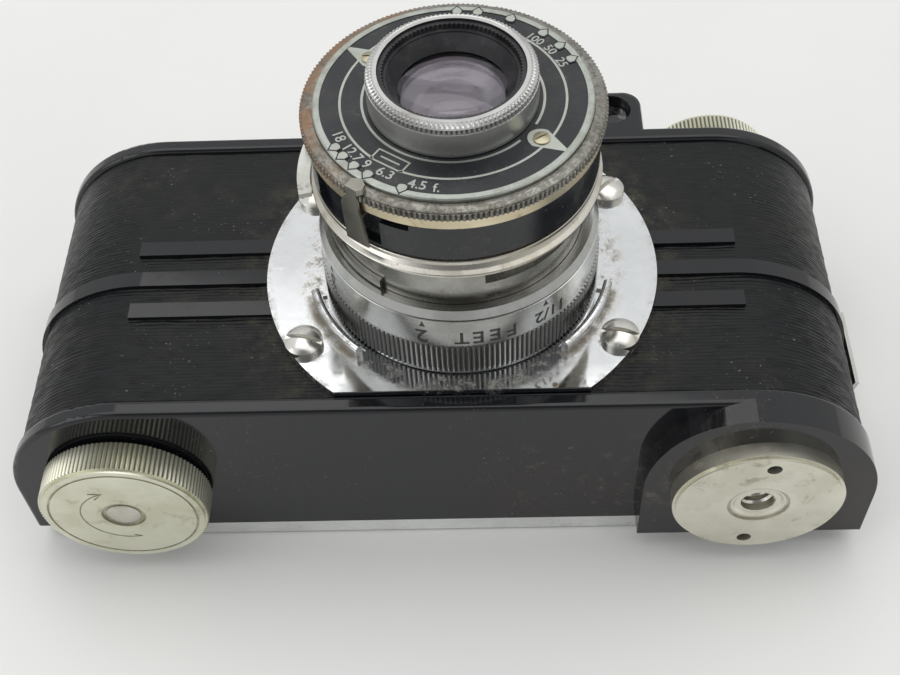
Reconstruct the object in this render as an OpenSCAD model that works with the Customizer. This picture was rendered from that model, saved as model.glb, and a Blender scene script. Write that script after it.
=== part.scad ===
// Viewfinder camera for 35 mm film: moulded body, lift-off back, collapsing lens in a focusing mount.
// Origin: where the lens axis meets the back's outer face. +Z is the lens axis, out of the front;
// +Y points to the camera's top and +X to its winding end. Lengths are millimetres.

/* [Body] */
// Width of the moulded body
body_w = 133; // [131:0.5:136]
// Height of the body, bottom face to top face
body_h = 57; // [57:0.5:59]
// Distance of the front rim from the back's outer face
front_z = 35.3; // [35.3:0.1:36]
// Radius of the body's front corners
corner_r = 20.45; // [18:0.05:21]
// Height of the raised rims along the top and bottom edges
rim_h = 2.9; // [2.5:0.1:3.5]
// How far the textured skin lies below the rims
skin_inset = 0.8; // [0.5:0.1:1.2]
// Distance of the lens axis from the middle of the body's width
lens_offset = 4.1; // [3:0.1:5]
// Distance of the bottom face from the lens axis
bottom_y = 26.6; // [26:0.1:27]
// Half height of each raised stripe
stripe_half = 1.4; // [1:0.1:1.8]
// Spacing of the stripes
stripe_pitch = 6.28; // [5:0.02:7]
// Height of the middle stripe's centre above the lens axis
stripe_y = -0.7; // [-1:0.1:1]

/* [Back] */
// Height of the lift-off back's rim
back_h = 4; // [3.5:0.1:4]
// Thickness of the back's sheet
back_t = 1.2; // [1:0.1:1.5]

/* [Film path] */
// Distance of each film chamber's axis from the middle of the body's width
chamber_dx = 48.2; // [47.5:0.1:48.5]
// Height of the chambers' axes above the back
chamber_z = 17.1; // [16.9:0.1:17.3]
// Radius of each film chamber
chamber_r = 13.4; // [13:0.1:13.5]
// Film plane's height above the back
film_z = 7.5; // [7.4:0.1:7.6]
// Picture width
gate_w = 36; // [34:0.5:36]
// Picture height
gate_h = 24; // [22:0.5:24]
// Where the sprocket's axis is, from the lens axis
sprocket_x = -30; // [-30.5:0.1:-29.5]
// Radius of the sprocket's drum: eight holes of 4.75 mm film pitch
sprocket_r = 6.05; // [6.0:0.01:6.1]

/* [Lens mount] */
// Radius of the chrome lens plate
plate_r = 30.15; // [29:0.05:31]
// Half height of the plate between its two flats
plate_half = 23.7; // [22:0.1:24]
// Level of the plate's front face
plate_z = 36.1; // [36:0.1:36.4]
// Radius of the focusing ring over its knurl
focus_r = 21; // [20.8:0.1:21.1]
// Radius of the lens barrel's skirt
skirt_r = 18.33; // [18.3:0.01:18.36]

/* [Shutter and lens] */
// Radius of the shutter's back flange
flange_r = 20.7; // [20.5:0.1:20.8]
// Level of the flange's back face
flange_z = 57.3; // [57.2:0.1:57.5]
// Radius of the black shutter case
case_r = 20.2; // [20:0.1:20.4]
// Radius of the speed ring over its knurl
speed_r = 20.9; // [20.7:0.1:21]
// Outer radius of the lens rim
rim_r = 11.6; // [11:0.1:12]
// Level of the lens rim's front edge
rim_z = 75.9; // [75:0.1:76.5]
// Radius of the open lens
lens_r = 7.4; // [7:0.1:8]

/* [Knobs] */
// Radius of the rewind knob and of the tripod disc
knob_r = 12.9; // [12:0.1:13.2]
// Outer face of the rewind knob, below the lens axis
knob_y = 32.5; // [32:0.1:33]
// Radius of the winding knob
wind_r = 11.3; // [11:0.1:12]
// Outer face of the winding knob, above the lens axis
wind_y = 41; // [40:0.1:42]
// Clearance radius of the tripod thread
tripod_r = 2.6; // [2.5:0.05:2.6]

/* [Finder] */
// Right edge of the finder housing, from the lens axis
finder_x1 = 31; // [30:0.1:32]
// Left edge of the finder housing, from the lens axis
finder_x0 = -17; // [-18:0.5:-12]
// Height of the finder housing above the body's top face
finder_h = 9.1; // [8.8:0.1:9.5]
// Height of the finder window
window_h = 6.7; // [6:0.1:7]
// Width of the finder window
window_w = 10.6; // [9:0.1:11]

/* [Hidden] */
$fn = 96;
lens_fn = 400;                        // finer, because lens faces are shallow caps of big spheres

half_w = body_w / 2;
body_x = -lens_offset;              // middle of the body's width
bottom = -bottom_y;                 // bottom face
top = body_h - bottom_y;            // top face
corner_x = half_w - corner_r;       // corner arcs' centres, from body_x
corner_z = front_z - corner_r;
skin_z = front_z - skin_inset;
rim_fillet = 0.8;
inner_y0 = bottom + 3.7;            // film space, between the bottom and top walls
inner_y1 = top - 3.7;
rewind_x = body_x - chamber_dx;
wind_x = body_x + chamber_dx;
recess_z = film_z + 2;              // floor of the film space, seen from the back
run = 0.05;                         // running clearance of a shaft in its bearing

block_x = 27;                       // left edge of the raised block round the tripod disc
block_y = -29.8;                    // its face
arch_side_r = 20.3;                  // its left shoulder: a big arc below, a smaller one above
arch_top_r = 13.9;
disc_y = -32.6;                     // tripod disc's outer face
bush_r = 6;

finder_top = top + finder_h;
window_x1 = finder_x1 - 1.9;
window_x = window_x1 - window_w / 2;
window_y = top + 1.2 + window_h / 2;
finder_back = 2;

well_r = 21;                        // body's bore behind the lens plate
well_z = 24;
throat_r = 19.4;
throat_z = 15.5;
collar_r = 19.95;
collar_z = 40;
ring_z0 = plate_z + 0.1;
band_r = focus_r - 0.3;
band_z0 = 42.6;
band_z1 = 47.9;
ring_z1 = 49.4;
sleeve_r = 19.25;
sleeve_z1 = 49;
skirt_z1 = flange_z - 1.8;
tube_r = 17.3;
barrel_z0 = 27;

case_z0 = flange_z + 3.4;           // levels inside the shutter
case_z1 = case_z0 + 6.2;
band_top = case_z1 + 1.6;
speed_z1 = band_top + 1.65;
face_z = speed_z1 + 0.6;
case_in = case_r - 1.4;
lever_z = case_z0 + 0.2;
blade_z = case_z0 + 1.3;
mech_z = case_z0 + 2.5;
iris_z = mech_z + 1;
cam_z = iris_z + 1.7;
blade_t = 0.15;
blade_step = 0.25;
iris_pin_r = 13;                    // radius of the circle that the iris blades' pins stand on
iris_n = 5;

sprocket_z = film_z + sprocket_r;
catch_x = -31;
catch_z = 27.5;
latch_x = body_x + half_w;
latch_y0 = -6;
latch_y1 = 9;

black = [0.05, 0.05, 0.06];
chrome = [0.82, 0.83, 0.85];
nickel = [0.72, 0.71, 0.67];
cream = [0.80, 0.78, 0.71];
brass = [0.72, 0.62, 0.40];
dark = [0.13, 0.13, 0.14];
alloy = [0.75, 0.76, 0.78];
clear = [0.7, 0.75, 0.85, 0.5];

// ---- helpers ----

// Stands a drawing of (x, z) up and extrudes it from y0 to y1.
module along_y(y0, y1) {
    translate([0, y0, 0]) mirror([0, 1, 0]) rotate([90, 0, 0]) linear_extrude(y1 - y0) children();
}

module rod_y(x, z, y0, y1, r) {
    translate([x, y0, z]) rotate([-90, 0, 0]) cylinder(h = y1 - y0, r = r);
}

module rod_z(x, y, z0, z1, r) {
    translate([x, y, z0]) cylinder(h = z1 - z0, r = r);
}

module ring_z(z0, z1, r_out, r_in) {
    translate([0, 0, z0]) difference() {
        cylinder(h = z1 - z0, r = r_out);
        translate([0, 0, -1]) cylinder(h = z1 - z0 + 2, r = r_in);
    }
}

module ring_y(x, z, y0, y1, r_out, r_in) {
    difference() {
        rod_y(x, z, y0, y1, r_out);
        rod_y(x, z, y0 - 1, y1 + 1, r_in);
    }
}

function polar(r, a) = [r * cos(a), r * sin(a)];

// A block between two corners.
module block(low, high) {
    translate(low) cube(high - low);
}

// Outline of a straight knurl: n teeth, cut to a depth.
module knurl_outline(r, n, depth) {
    polygon([for (i = [0 : 2 * n - 1])
        polar(i % 2 == 0 ? r : r - depth, 180 * i / n)]);
}

// Part of a ring about the lens axis, from angle a0 to a1, at most 170 degrees.
module sector_z(z0, z1, r_out, r_in, a0, a1) {
    rotate([0, 0, a0]) rotate_extrude(angle = a1 - a0)
        translate([r_in, z0]) square([r_out - r_in, z1 - z0]);
}

// A lens from two spherical faces, cut to a disc of radius r.
module lens(r, z0, z1, r_front, r_back) {
    intersection() {
        rod_z(0, 0, z0, z1, r);
        translate([0, 0, z1 - r_front]) sphere(r = r_front, $fn = lens_fn);
        translate([0, 0, z0 + r_back]) sphere(r = r_back, $fn = lens_fn);
    }
}

// A slotted screw with a domed head: head at z, shank below it.
module slotted_screw(head_r, head_h, shank_r, shank_l, slot_angle) {
    dome_r = (head_r * head_r + head_h * head_h / 4) / head_h;
    difference() {
        union() {
            cylinder(h = head_h * 0.45, r = head_r);
            intersection() {
                cylinder(h = head_h, r = head_r);
                translate([0, 0, head_h - dome_r]) sphere(r = dome_r);
            }
            translate([0, 0, -shank_l]) cylinder(h = shank_l + 0.01, r = shank_r);
        }
        rotate([0, 0, slot_angle]) translate([-head_r - 1, -head_r * 0.13, head_h * 0.5])
            cube([2 * head_r + 2, head_r * 0.26, head_h]);
    }
}

// ---- body ----

// Front view of the body's depth, (x, z), set in from the rims by an amount.
module body_outline(inset) intersection() {
    union() {
        for (s = [-1, 1]) translate([body_x + s * corner_x, corner_z]) circle(r = corner_r - inset);
        translate([body_x - corner_x, back_h]) square([2 * corner_x, front_z - inset - back_h]);
        translate([body_x - half_w + inset, back_h])
            square([2 * (half_w - inset), corner_z - back_h]);
    }
    translate([body_x - half_w, back_h]) square([body_w, front_z]);
}

// Section of a rim: its height along x, outwards along y, with both outer edges rounded.
module rim_section() {
    depth = 3;
    translate([0, -depth]) square([rim_h, depth - rim_fillet]);
    translate([rim_fillet, -depth]) square([rim_h - 2 * rim_fillet, depth]);
    for (v = [rim_fillet, rim_h - rim_fillet]) translate([v, -rim_fillet]) circle(r = rim_fillet);
}

// A rim round three sides of the body, from y0 upwards.
module rim(y0) {
    translate([body_x - corner_x, y0, front_z]) rotate([90, 0, 90])
        linear_extrude(2 * corner_x) rim_section();
    translate([body_x - half_w, y0, back_h]) rotate([0, 0, 90])
        linear_extrude(corner_z - back_h) rim_section();
    translate([body_x + half_w, y0 + rim_h, back_h]) rotate([0, 0, -90])
        linear_extrude(corner_z - back_h) rim_section();
    for (s = [-1, 1]) translate([body_x + s * corner_x, y0, corner_z])
        mirror([0, 1, 0]) rotate([90, 0, 0]) rotate([0, 0, s > 0 ? 0 : 90])
            rotate_extrude(angle = 90) translate([corner_r, rim_h]) rotate(-90) rim_section();
}

module stripes() {
    along_y(stripe_y - stripe_half, stripe_y + stripe_half) body_outline(0.02);
    for (s = [-1, 1]) block(
        [body_x - corner_x - 1, stripe_y + s * stripe_pitch - stripe_half, skin_z - 1],
        [body_x + corner_x + 1, stripe_y + s * stripe_pitch + stripe_half, front_z - 0.02]);
}

// The raised block that carries the tripod disc: round over the top, square below.
module tripod_block() {
    top_at = [body_x + corner_x, front_z - arch_top_r];
    drop_x = block_x + arch_side_r - top_at[0];
    side_at = [block_x + arch_side_r,
        top_at[1] - sqrt(pow(arch_side_r - arch_top_r, 2) - drop_x * drop_x)];
    reach = 60;
    along_y(block_y, bottom + 1) intersection() {
        body_outline(0);
        union() {
            translate(top_at) circle(r = arch_top_r);
            intersection() {
                translate(side_at) circle(r = arch_side_r);
                polygon([side_at, side_at + reach * (top_at - side_at), [-reach, side_at[1]]]);
            }
            translate([block_x, back_h]) square([reach, side_at[1] - back_h]);
            polygon([side_at, side_at + [reach, 0], top_at + [reach, arch_top_r], top_at + [0, arch_top_r], top_at]);
        }
    }
}

module finder_outline(inset) {
    r = 3;
    x0 = finder_x0 + inset;
    x1 = finder_x1 - inset;
    y1 = finder_top - inset;
    translate([x0, top - 1]) square([x1 - x0, y1 - r - top + 1]);
    translate([x0 + r, top - 1]) square([x1 - x0 - 2 * r, y1 - top + 1]);
    for (x = [x0 + r, x1 - r]) translate([x, y1 - r]) circle(r = r);
}

module finder_housing() {
    edge = 0.7;
    translate([0, 0, finder_back]) linear_extrude(front_z - edge - finder_back) finder_outline(0);
    hull() {
        translate([0, 0, front_z - edge - 0.01]) linear_extrude(0.01) finder_outline(0);
        translate([0, 0, front_z - edge * 0.3]) linear_extrude(0.01) finder_outline(edge * 0.3);
        translate([0, 0, front_z - 0.01]) linear_extrude(0.01) finder_outline(edge);
    }
}

module window_outline(inset) {
    r = window_h / 2 - inset;
    for (s = [-1, 1]) translate([window_x + s * (window_w - window_h) / 2, window_y]) circle(r = r);
    translate([window_x - (window_w - window_h) / 2, window_y - r]) square([window_w - window_h, 2 * r]);
}

module body_hollows() {
    for (x = [rewind_x, wind_x]) {
        rod_y(x, chamber_z, inner_y0, inner_y1, chamber_r);
        block([x - chamber_r, inner_y0, 0], [x + chamber_r, inner_y1, chamber_z]);
    }
    block([rewind_x, inner_y0, 0], [wind_x, inner_y1, recess_z]);
    rod_z(0, 0, well_z, front_z + 1, well_r);
    rod_z(0, 0, throat_z, well_z + 1, throat_r);
    block([-gate_w / 2 - 1, -gate_h / 2 - 1, recess_z - 1], [gate_w / 2 + 1, gate_h / 2 + 1, throat_z + 1]);
    rod_y(sprocket_x, sprocket_z, inner_y0, inner_y1, sprocket_r + 1.15);
    block([sprocket_x - sprocket_r - 1.15, inner_y0, 0],
        [sprocket_x + sprocket_r + 1.15, inner_y1, sprocket_z]);
}

module body_holes() {
    rod_y(wind_x, chamber_z, inner_y1 - 1, top + 1, 5);
    rod_y(rewind_x, chamber_z, bottom - 1, inner_y0 + 1, 5);
    rod_y(wind_x, chamber_z, block_y - 1, inner_y0 + 1, bush_r);
    rod_y(sprocket_x, sprocket_z, inner_y1 - 1, top + 1, 3.2);
    rod_y(sprocket_x, sprocket_z, bottom + 1.2, inner_y0 + 1, 2.2);
    rod_y(catch_x, catch_z, inner_y1 - 5.5, top + 1, 3);
    rod_y(pawl_x, pawl_z, inner_y1 - 1, inner_y1 + 1.2, 0.8 + run);
    translate([0, 0, finder_back - 1]) linear_extrude(front_z) window_outline(0);
    screw_places() translate([0, 0, skin_z - 7]) cylinder(h = 8, r = 1.2);
}

module body_shell() color(black) difference() {
    union() {
        along_y(bottom, top) body_outline(2);
        along_y(bottom + 1, top - 1) body_outline(skin_inset);
        rim(bottom);
        rim(top - rim_h);
        stripes();
        tripod_block();
        finder_housing();
    }
    body_hollows();
    body_holes();
    // room for the back's rim behind the finder housing
    block([finder_x0 - 1, top - 2, 0], [finder_x1 + 1, top, back_h]);
    // seat of the lens plate, which interrupts the stripes
    translate([0, 0, skin_z]) linear_extrude(2) intersection() {
        circle(r = plate_r + 0.1);
        square([4 * plate_r, 2 * plate_half + 0.2], center = true);
    }
}

// ---- lens plate ----

screw_x = 23.4;
screw_y = 14.8;

module screw_places() {
    for (x = [-1, 1], y = [-1, 1]) translate([x * screw_x, y * screw_y, 0]) children();
}

// A curved rail with a round top, standing on the plate between two angles.
module rail(a0, a1) {
    rail_r = 22.9;
    rail_half = 0.65;
    rail_h = 1.6;
    rotate([0, 0, a0]) rotate_extrude(angle = a1 - a0) {
        translate([rail_r - rail_half, plate_z - 0.2]) square([2 * rail_half, rail_h + 0.2]);
        translate([rail_r, plate_z + rail_h]) circle(r = rail_half);
    }
}

module lens_plate() color(chrome) {
    difference() {
        translate([0, 0, skin_z]) linear_extrude(plate_z - skin_z) intersection() {
            circle(r = plate_r);
            square([4 * plate_r, 2 * plate_half], center = true);
        }
        rod_z(0, 0, skin_z - 1, plate_z + 1, collar_r);
        screw_places() translate([0, 0, skin_z - 1]) cylinder(h = 4, r = 1.2);
        // the slots that the rails were bent up from
        for (a = [-165, -48.5]) sector_z(plate_z - 0.5, plate_z + 1, 22, 21.3, a, a + 34);
    }
    rail(-165, -131);
    rail(-48.5, -14);
}

module plate_screws() color(chrome) {
    slots = [[-1, -1, -12], [1, -1, -12], [-1, 1, 20], [1, 1, 42]];
    for (s = slots) translate([s[0] * screw_x, s[1] * screw_y, plate_z])
        slotted_screw(2.85, 1.9, 1.15, 7, s[2]);
}

module focus_mount() color(brass) {
    ring_z(well_z, skin_z, well_r, throat_r);
    ring_z(skin_z - 0.01, collar_z, collar_r, throat_r);
}

// ---- film gate ----

module film_gate() color(dark) difference() {
    union() {
        block([-22, inner_y0 + 1.2, film_z + 0.5], [26, inner_y1 - 1.2, recess_z]);
        for (y = [-gate_h / 2 - 1.6, gate_h / 2]) block([-22, y, film_z], [26, y + 1.6, film_z + 0.6]);
        for (y = [-18.7, 17.5]) block([-22, y, film_z - 0.4], [26, y + 1.2, film_z + 0.6]);
    }
    block([-gate_w / 2, -gate_h / 2, 0], [gate_w / 2, gate_h / 2, recess_z + 1]);
}

// ---- tripod disc, bushes and finder ----

module tripod_bush() color(cream) difference() {
    union() {
        rod_y(wind_x, chamber_z, disc_y + 0.5, block_y, knob_r);
        rod_y(wind_x, chamber_z, disc_y, disc_y + 0.5, knob_r - 0.5);
        rod_y(wind_x, chamber_z, block_y - 0.01, inner_y0, bush_r);
    }
    rod_y(wind_x, chamber_z, disc_y - 1, disc_y + 7, tripod_r);
    translate([wind_x, disc_y - 0.01, chamber_z]) rotate([-90, 0, 0])
        cylinder(h = 0.6, r1 = 4.25, r2 = 3.4);
    rod_y(wind_x, chamber_z, disc_y - 1, disc_y + 0.3, 4.6);
    rod_y(wind_x, chamber_z, inner_y0 - 1.5, inner_y0 + 1, 1.5 + run);
    for (s = [-1, 1]) rod_y(wind_x + s * 0.9, chamber_z + s * 9.85, disc_y - 1, disc_y + 1.5, 1.1);
}

module finder_front_lens() color(clear) difference() {
    translate([0, 0, front_z - 4]) linear_extrude(1.8) window_outline(0.15);
    translate([window_x, window_y, front_z - 4 + 1.8 + 17.4]) sphere(r = 18);
}

module finder_eyepiece() color(dark) difference() {
    union() {
        translate([window_x, window_y, finder_back - 1.2]) cylinder(h = 1.2, r = 4.2);
        translate([0, 0, finder_back]) linear_extrude(3) window_outline(0.15);
    }
    rod_z(window_x, window_y, 0, finder_back + 5, 2.3);
    rod_z(window_x, window_y, finder_back + 1, finder_back + 5, 2.8);
}

module finder_rear_lens() color(clear) translate([window_x, window_y, 0])
    lens(2.75, finder_back + 1, finder_back + 2.6, 14, 60);

module rewind_bush() color(brass)
    ring_y(rewind_x, chamber_z, bottom, inner_y0, 5, 3 + run);

module wind_bush() color(cream) difference() {
    union() {
        rod_y(wind_x, chamber_z, inner_y1, top, 5);
        rod_y(wind_x, chamber_z, top, top + 2, 9);
    }
    rod_y(wind_x, chamber_z, inner_y1 - 1, top + 3, 3 + run);
}

module catch_bush() color(chrome)
    ring_y(catch_x, catch_z, inner_y1, top + 0.6, 3, 1.8 + run);

module sprocket_bearings() color(brass) {
    ring_y(sprocket_x, sprocket_z, inner_y1, top, 3.2, 1.5 + run);
    ring_y(sprocket_x, sprocket_z, bottom + 1.2, inner_y0, 2.2, 1.5 + run);
}

// ---- lift-off back ----

// Plan of the back with rounded corners, set in by an amount.
module back_plan(inset) {
    plan_r = 3.8;
    x = half_w - 0.3 - plan_r;
    y = body_h / 2 - 0.2 - plan_r;
    translate([body_x, bottom + body_h / 2]) {
        for (sx = [-1, 1], sy = [-1, 1]) translate([sx * x, sy * y]) circle(r = plan_r - inset);
        square([2 * x, 2 * (y + plan_r - inset)], center = true);
        square([2 * (x + plan_r - inset), 2 * y], center = true);
    }
}

module back_cover() color(alloy) {
    x0 = body_x - half_w + 0.3;
    x1 = body_x + half_w - 0.3;
    y0 = bottom + 0.2;
    y1 = top - 0.2;
    edge = 0.6;
    lip = 0.8;
    lx0 = rewind_x - chamber_r + 0.1;
    lx1 = wind_x + chamber_r - 0.1;
    difference() {
        union() {
            linear_extrude(1) back_plan(edge);
            translate([0, 0, edge / 4]) linear_extrude(1) back_plan(edge / 3);
            translate([0, 0, edge]) linear_extrude(back_h - edge) back_plan(0);
        }
        block([x0 + 2.4, y0 + 2.4, back_t], [x1 - 2.4, y1 - 2.4, back_h + 1]);
    }
    // ears of the catch's hinge
    for (y = [latch_y0 - 1.3, latch_y1 + 0.1]) difference() {
        block([x1 - 0.1, y, 1.2], [latch_x + 2.4, y + 1.2, 3.6]);
        rod_y(latch_x + 1.3, 2.4, y - 1, y + 2, 0.55 + run);
    }
    // the lip that enters the film space and keeps out light
    difference() {
        block([lx0, inner_y0 + 0.1, back_t - 0.2], [lx1, inner_y1 - 0.1, back_h + 2.5]);
        block([lx0 + lip, inner_y0 + 0.1 + lip, back_t - 0.4], [lx1 - lip, inner_y1 - 0.1 - lip, back_h + 3]);
    }
}

module pressure_plate() color(dark) difference() {
    block([-21, -17, film_z - 1.5], [25, 17, film_z - 0.5]);
    for (x = [-14, 18], y = [-11, 11]) rod_z(x, y, 0, film_z, 0.7);
}

// Two bowed leaves between the back and the pressure plate.
module pressure_springs() color(brass) {
    leaf_t = 0.3;
    z0 = back_t;
    z1 = film_z - 1.5;
    for (y = [-11, 11]) {
        block([-10, y - 2, z0], [14, y + 2, z0 + leaf_t]);
        for (s = [-1, 1]) {
            x_foot = 2 + s * 12;
            x_tip = 2 + s * 18;
            translate([0, y + 2, 0]) rotate([90, 0, 0]) linear_extrude(4) polygon([
                [x_foot, z0], [x_tip, z1 - leaf_t], [x_tip, z1], [x_foot, z0 + leaf_t]]);
        }
    }
}

// A leaf on the back that steadies the film cassette.
module cassette_spring() color(nickel) {
    translate([0, 6, 0]) rotate([90, 0, 0]) linear_extrude(12) polygon([
        [rewind_x - 9, back_t], [rewind_x + 9, back_t], [rewind_x + 9, back_t + 0.3],
        [rewind_x + 4, back_t + 0.3], [rewind_x + 2, 3.3], [rewind_x - 2, 3.3],
        [rewind_x - 4, back_t + 0.3], [rewind_x - 9, back_t + 0.3]]);
}

// A sprung catch on the back's end: its hinge roll, plate and lifted finger edge.
module back_latch() color(nickel) {
    y0 = latch_y0;
    y1 = latch_y1;
    x = latch_x;
    rod_y(x + 1.3, 2.4, y0 - 1.3, y1 + 1.3, 0.55);
    rod_y(x + 1.3, 2.4, y0, y1, 1);
    along_y(y0, y1) polygon([[x + 0.9, 2.4], [x + 2.3, 2.4], [x + 2.3, 8], [x + 3, 10.6],
        [x + 2.3, 10.9], [x + 1.5, 8.4], [x + 0.9, 8]]);
    along_y(y0 + 4, y1 - 4) polygon([[x + 0.15, 6.4], [x + 1, 6], [x + 1, 7.6], [x + 0.15, 7.4]]);
}

// ---- rewind ----

module rewind_knob() color(cream) difference() {
    y_in = bottom - 0.6;
    y_out = -knob_y;
    union() {
        along_y(y_out + 0.5, y_in - 0.3) translate([rewind_x, chamber_z]) knurl_outline(knob_r, 110, 0.35);
        rod_y(rewind_x, chamber_z, y_out, y_in, knob_r - 0.6);
    }
    rod_y(rewind_x, chamber_z, y_out - 1, y_in + 1, 1.6);
    // shallow ring round the face, and the seat of the rivet
    ring_y(rewind_x, chamber_z, y_out - 1, y_out + 0.15, knob_r * 0.88, knob_r * 0.86);
    rod_y(rewind_x, chamber_z, y_out - 1, y_out + 0.35, 3.3);
}

module rewind_fork() color(nickel) {
    y_in = bottom - 0.6;
    fork_y = inner_y0 + 7;
    difference() {
        rod_y(rewind_x, chamber_z, y_in, fork_y - 3, 3);
        rod_y(rewind_x, chamber_z, y_in - 1, bottom + 1.1, 1.2);
    }
    block([rewind_x - 2.6, fork_y - 3.1, chamber_z - 0.6], [rewind_x + 2.6, fork_y, chamber_z + 0.6]);
    rod_y(rewind_x, chamber_z, inner_y0 + 0.1, inner_y0 + 1, 5.2);
}

module rewind_rivet() color(nickel) {
    y_out = -knob_y;
    dome_r = 5;
    rod_y(rewind_x, chamber_z, y_out, bottom + 1, 1.2);
    intersection() {
        rod_y(rewind_x, chamber_z, y_out - 0.6, y_out + 0.35, 2.6);
        translate([rewind_x, y_out - 0.6 + dome_r, chamber_z]) sphere(r = dome_r);
    }
}

// ---- winding ----

module wind_knob() color(cream) difference() {
    union() {
        along_y(top + 2.6, wind_y - 0.6) translate([wind_x, chamber_z]) knurl_outline(wind_r, 96, 0.35);
        rod_y(wind_x, chamber_z, top + 2.2, wind_y, wind_r - 0.6);
    }
    rod_y(wind_x, chamber_z, top, wind_y + 1, 1.6);
    rod_y(wind_x, chamber_z, wind_y - 0.5, wind_y + 1, 4);
}

module wind_screw() color(nickel)
    translate([wind_x, wind_y - 0.5, chamber_z]) rotate([-90, 0, 0])
        slotted_screw(3.2, 1.2, 1.2, wind_y - 0.5 - top - 1, 30);

module take_up_spool() color(dark) difference() {
    union() {
        rod_y(wind_x, chamber_z, inner_y0 + 0.3, inner_y1 - 2.8, 5.5);
        rod_y(wind_x, chamber_z, inner_y1 - 2.8, inner_y1 - 0.3, 3.4);
        rod_y(wind_x, chamber_z, inner_y1 - 0.31, top + 2.2, 3);
        rod_y(wind_x, chamber_z, inner_y0 - 1.4, inner_y0 + 0.31, 1.5);
        rod_y(wind_x, chamber_z, inner_y0 + 0.3, inner_y0 + 1.3, 10.5);
    }
    rod_y(wind_x, chamber_z, top, top + 3, 1.2);
    // film slot along the core
    block([wind_x - 7, -17.5, chamber_z - 0.5], [wind_x + 1, 17.5, chamber_z + 0.5]);
}

ratchet_n = 16;
ratchet_r = 8.6;

// Saw-toothed wheel under the top wall, fixed on the take-up spool.
module ratchet_wheel() color(brass) difference() {
    y1 = inner_y1 - 0.6;
    along_y(y1 - 1.6, y1) translate([wind_x, chamber_z]) polygon([
        for (i = [0 : ratchet_n - 1], k = [0, 1])
            polar(k == 0 ? ratchet_r - 1.1 : ratchet_r, 360 * (i + k * 0.92) / ratchet_n)]);
    rod_y(wind_x, chamber_z, inner_y1 - 4, inner_y1, 3.4);
}

pawl_at = polar(10.9, 130);           // pivot, from the ratchet wheel's centre
pawl_x = wind_x + pawl_at[0];
pawl_z = chamber_z + pawl_at[1];

// Pawl whose tip rides on the teeth, on a pin in the top wall.
module ratchet_pawl() color(nickel) {
    y1 = inner_y1 - 0.6;
    rod_y(pawl_x, pawl_z, y1 - 1.5, inner_y1 + 1, 0.8);
    along_y(y1 - 1.5, y1 - 0.1) translate([wind_x, chamber_z]) {
        translate(pawl_at) circle(r = 1.5);
        polygon([polar(8.75, 91), polar(9.9, 91.5), polar(11.6, 124), polar(10.9, 130), polar(9.6, 124),
            polar(9.3, 112), polar(8.9, 102)]);
    }
}

// ---- film counting ----

module sprocket() color(nickel) {
    tooth_n = 8;
    rod_y(sprocket_x, sprocket_z, bottom + 1.3, top + 1.6, 1.5);
    rod_y(sprocket_x, sprocket_z, inner_y0 + 0.4, inner_y1 - 0.4, 4.4);
    for (y = [-14.4, 14.4]) {
        rod_y(sprocket_x, sprocket_z, y - 2, y + 2, sprocket_r);
        for (i = [0 : tooth_n - 1]) translate([sprocket_x, y, sprocket_z])
            rotate([0, 360 * (i + 0.5) / tooth_n, 0]) translate([0, -0.7, -0.6]) cube([sprocket_r + 0.9, 1.4, 1.2]);
    }
}

module counter_dial() color(nickel) difference() {
    union() {
        rod_y(sprocket_x, sprocket_z, top + 0.15, top + 1.5, 8.5);
        along_y(top + 0.4, top + 1.2) translate([sprocket_x, sprocket_z]) knurl_outline(8.8, 72, 0.25);
    }
    rod_y(sprocket_x, sprocket_z, top - 1, top + 3, 1.5 + run);
}

module counter_nut() color(chrome) difference() {
    rod_y(sprocket_x, sprocket_z, top + 1.6, top + 2.6, 2.4);
    block([sprocket_x - 3, top + 2.1, sprocket_z - 0.3], [sprocket_x + 3, top + 3, sprocket_z + 0.3]);
}

module film_catch() color(chrome) {
    rod_y(catch_x, catch_z, inner_y1 - 2.5, top + 2.6, 1.8);
    rod_y(catch_x, catch_z, inner_y1 - 0.9, inner_y1 - 0.1, 2.8);
    translate([catch_x, top + 2.6, catch_z]) intersection() {
        rotate([-90, 0, 0]) cylinder(h = 0.6, r = 1.8);
        translate([0, -2.6, 0]) sphere(r = 3.2);
    }
}

// ---- focusing mount ----

module focus_ring() color(nickel) difference() {
    union() {
        translate([0, 0, ring_z0 + 0.3]) linear_extrude(band_z0 - ring_z0 - 0.6) knurl_outline(focus_r, 170, 0.42);
        rotate_extrude() polygon([
            [sleeve_r - 1, ring_z0], [focus_r - 0.7, ring_z0], [focus_r - 0.5, ring_z0 + 0.2],
            [focus_r - 0.5, band_z0 - 0.4], [band_r, band_z0 - 0.2], [band_r, band_z1],
            [band_r - 0.35, band_z1 + 0.1], [band_r - 0.35, band_z1 + 0.3], [band_r - 0.1, band_z1 + 0.35],
            [19.9, ring_z1], [sleeve_r - 1, ring_z1]]);
    }
    rod_z(0, 0, ring_z0 - 1, collar_z + 0.1, collar_r + run);
    rod_z(0, 0, collar_z, ring_z1 + 1, sleeve_r + run);
}

module helicoid_sleeve() color(brass) {
    sleeve_in = skirt_r + 0.07;
    ring_z(well_z + 0.5, sleeve_z1, sleeve_r, sleeve_in);
    // raised stop, seen at the top inside the ring
    sector_z(sleeve_z1 - 0.01, sleeve_z1 + 2.2, sleeve_r - 0.2, sleeve_in, 150, 235);
}

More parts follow.
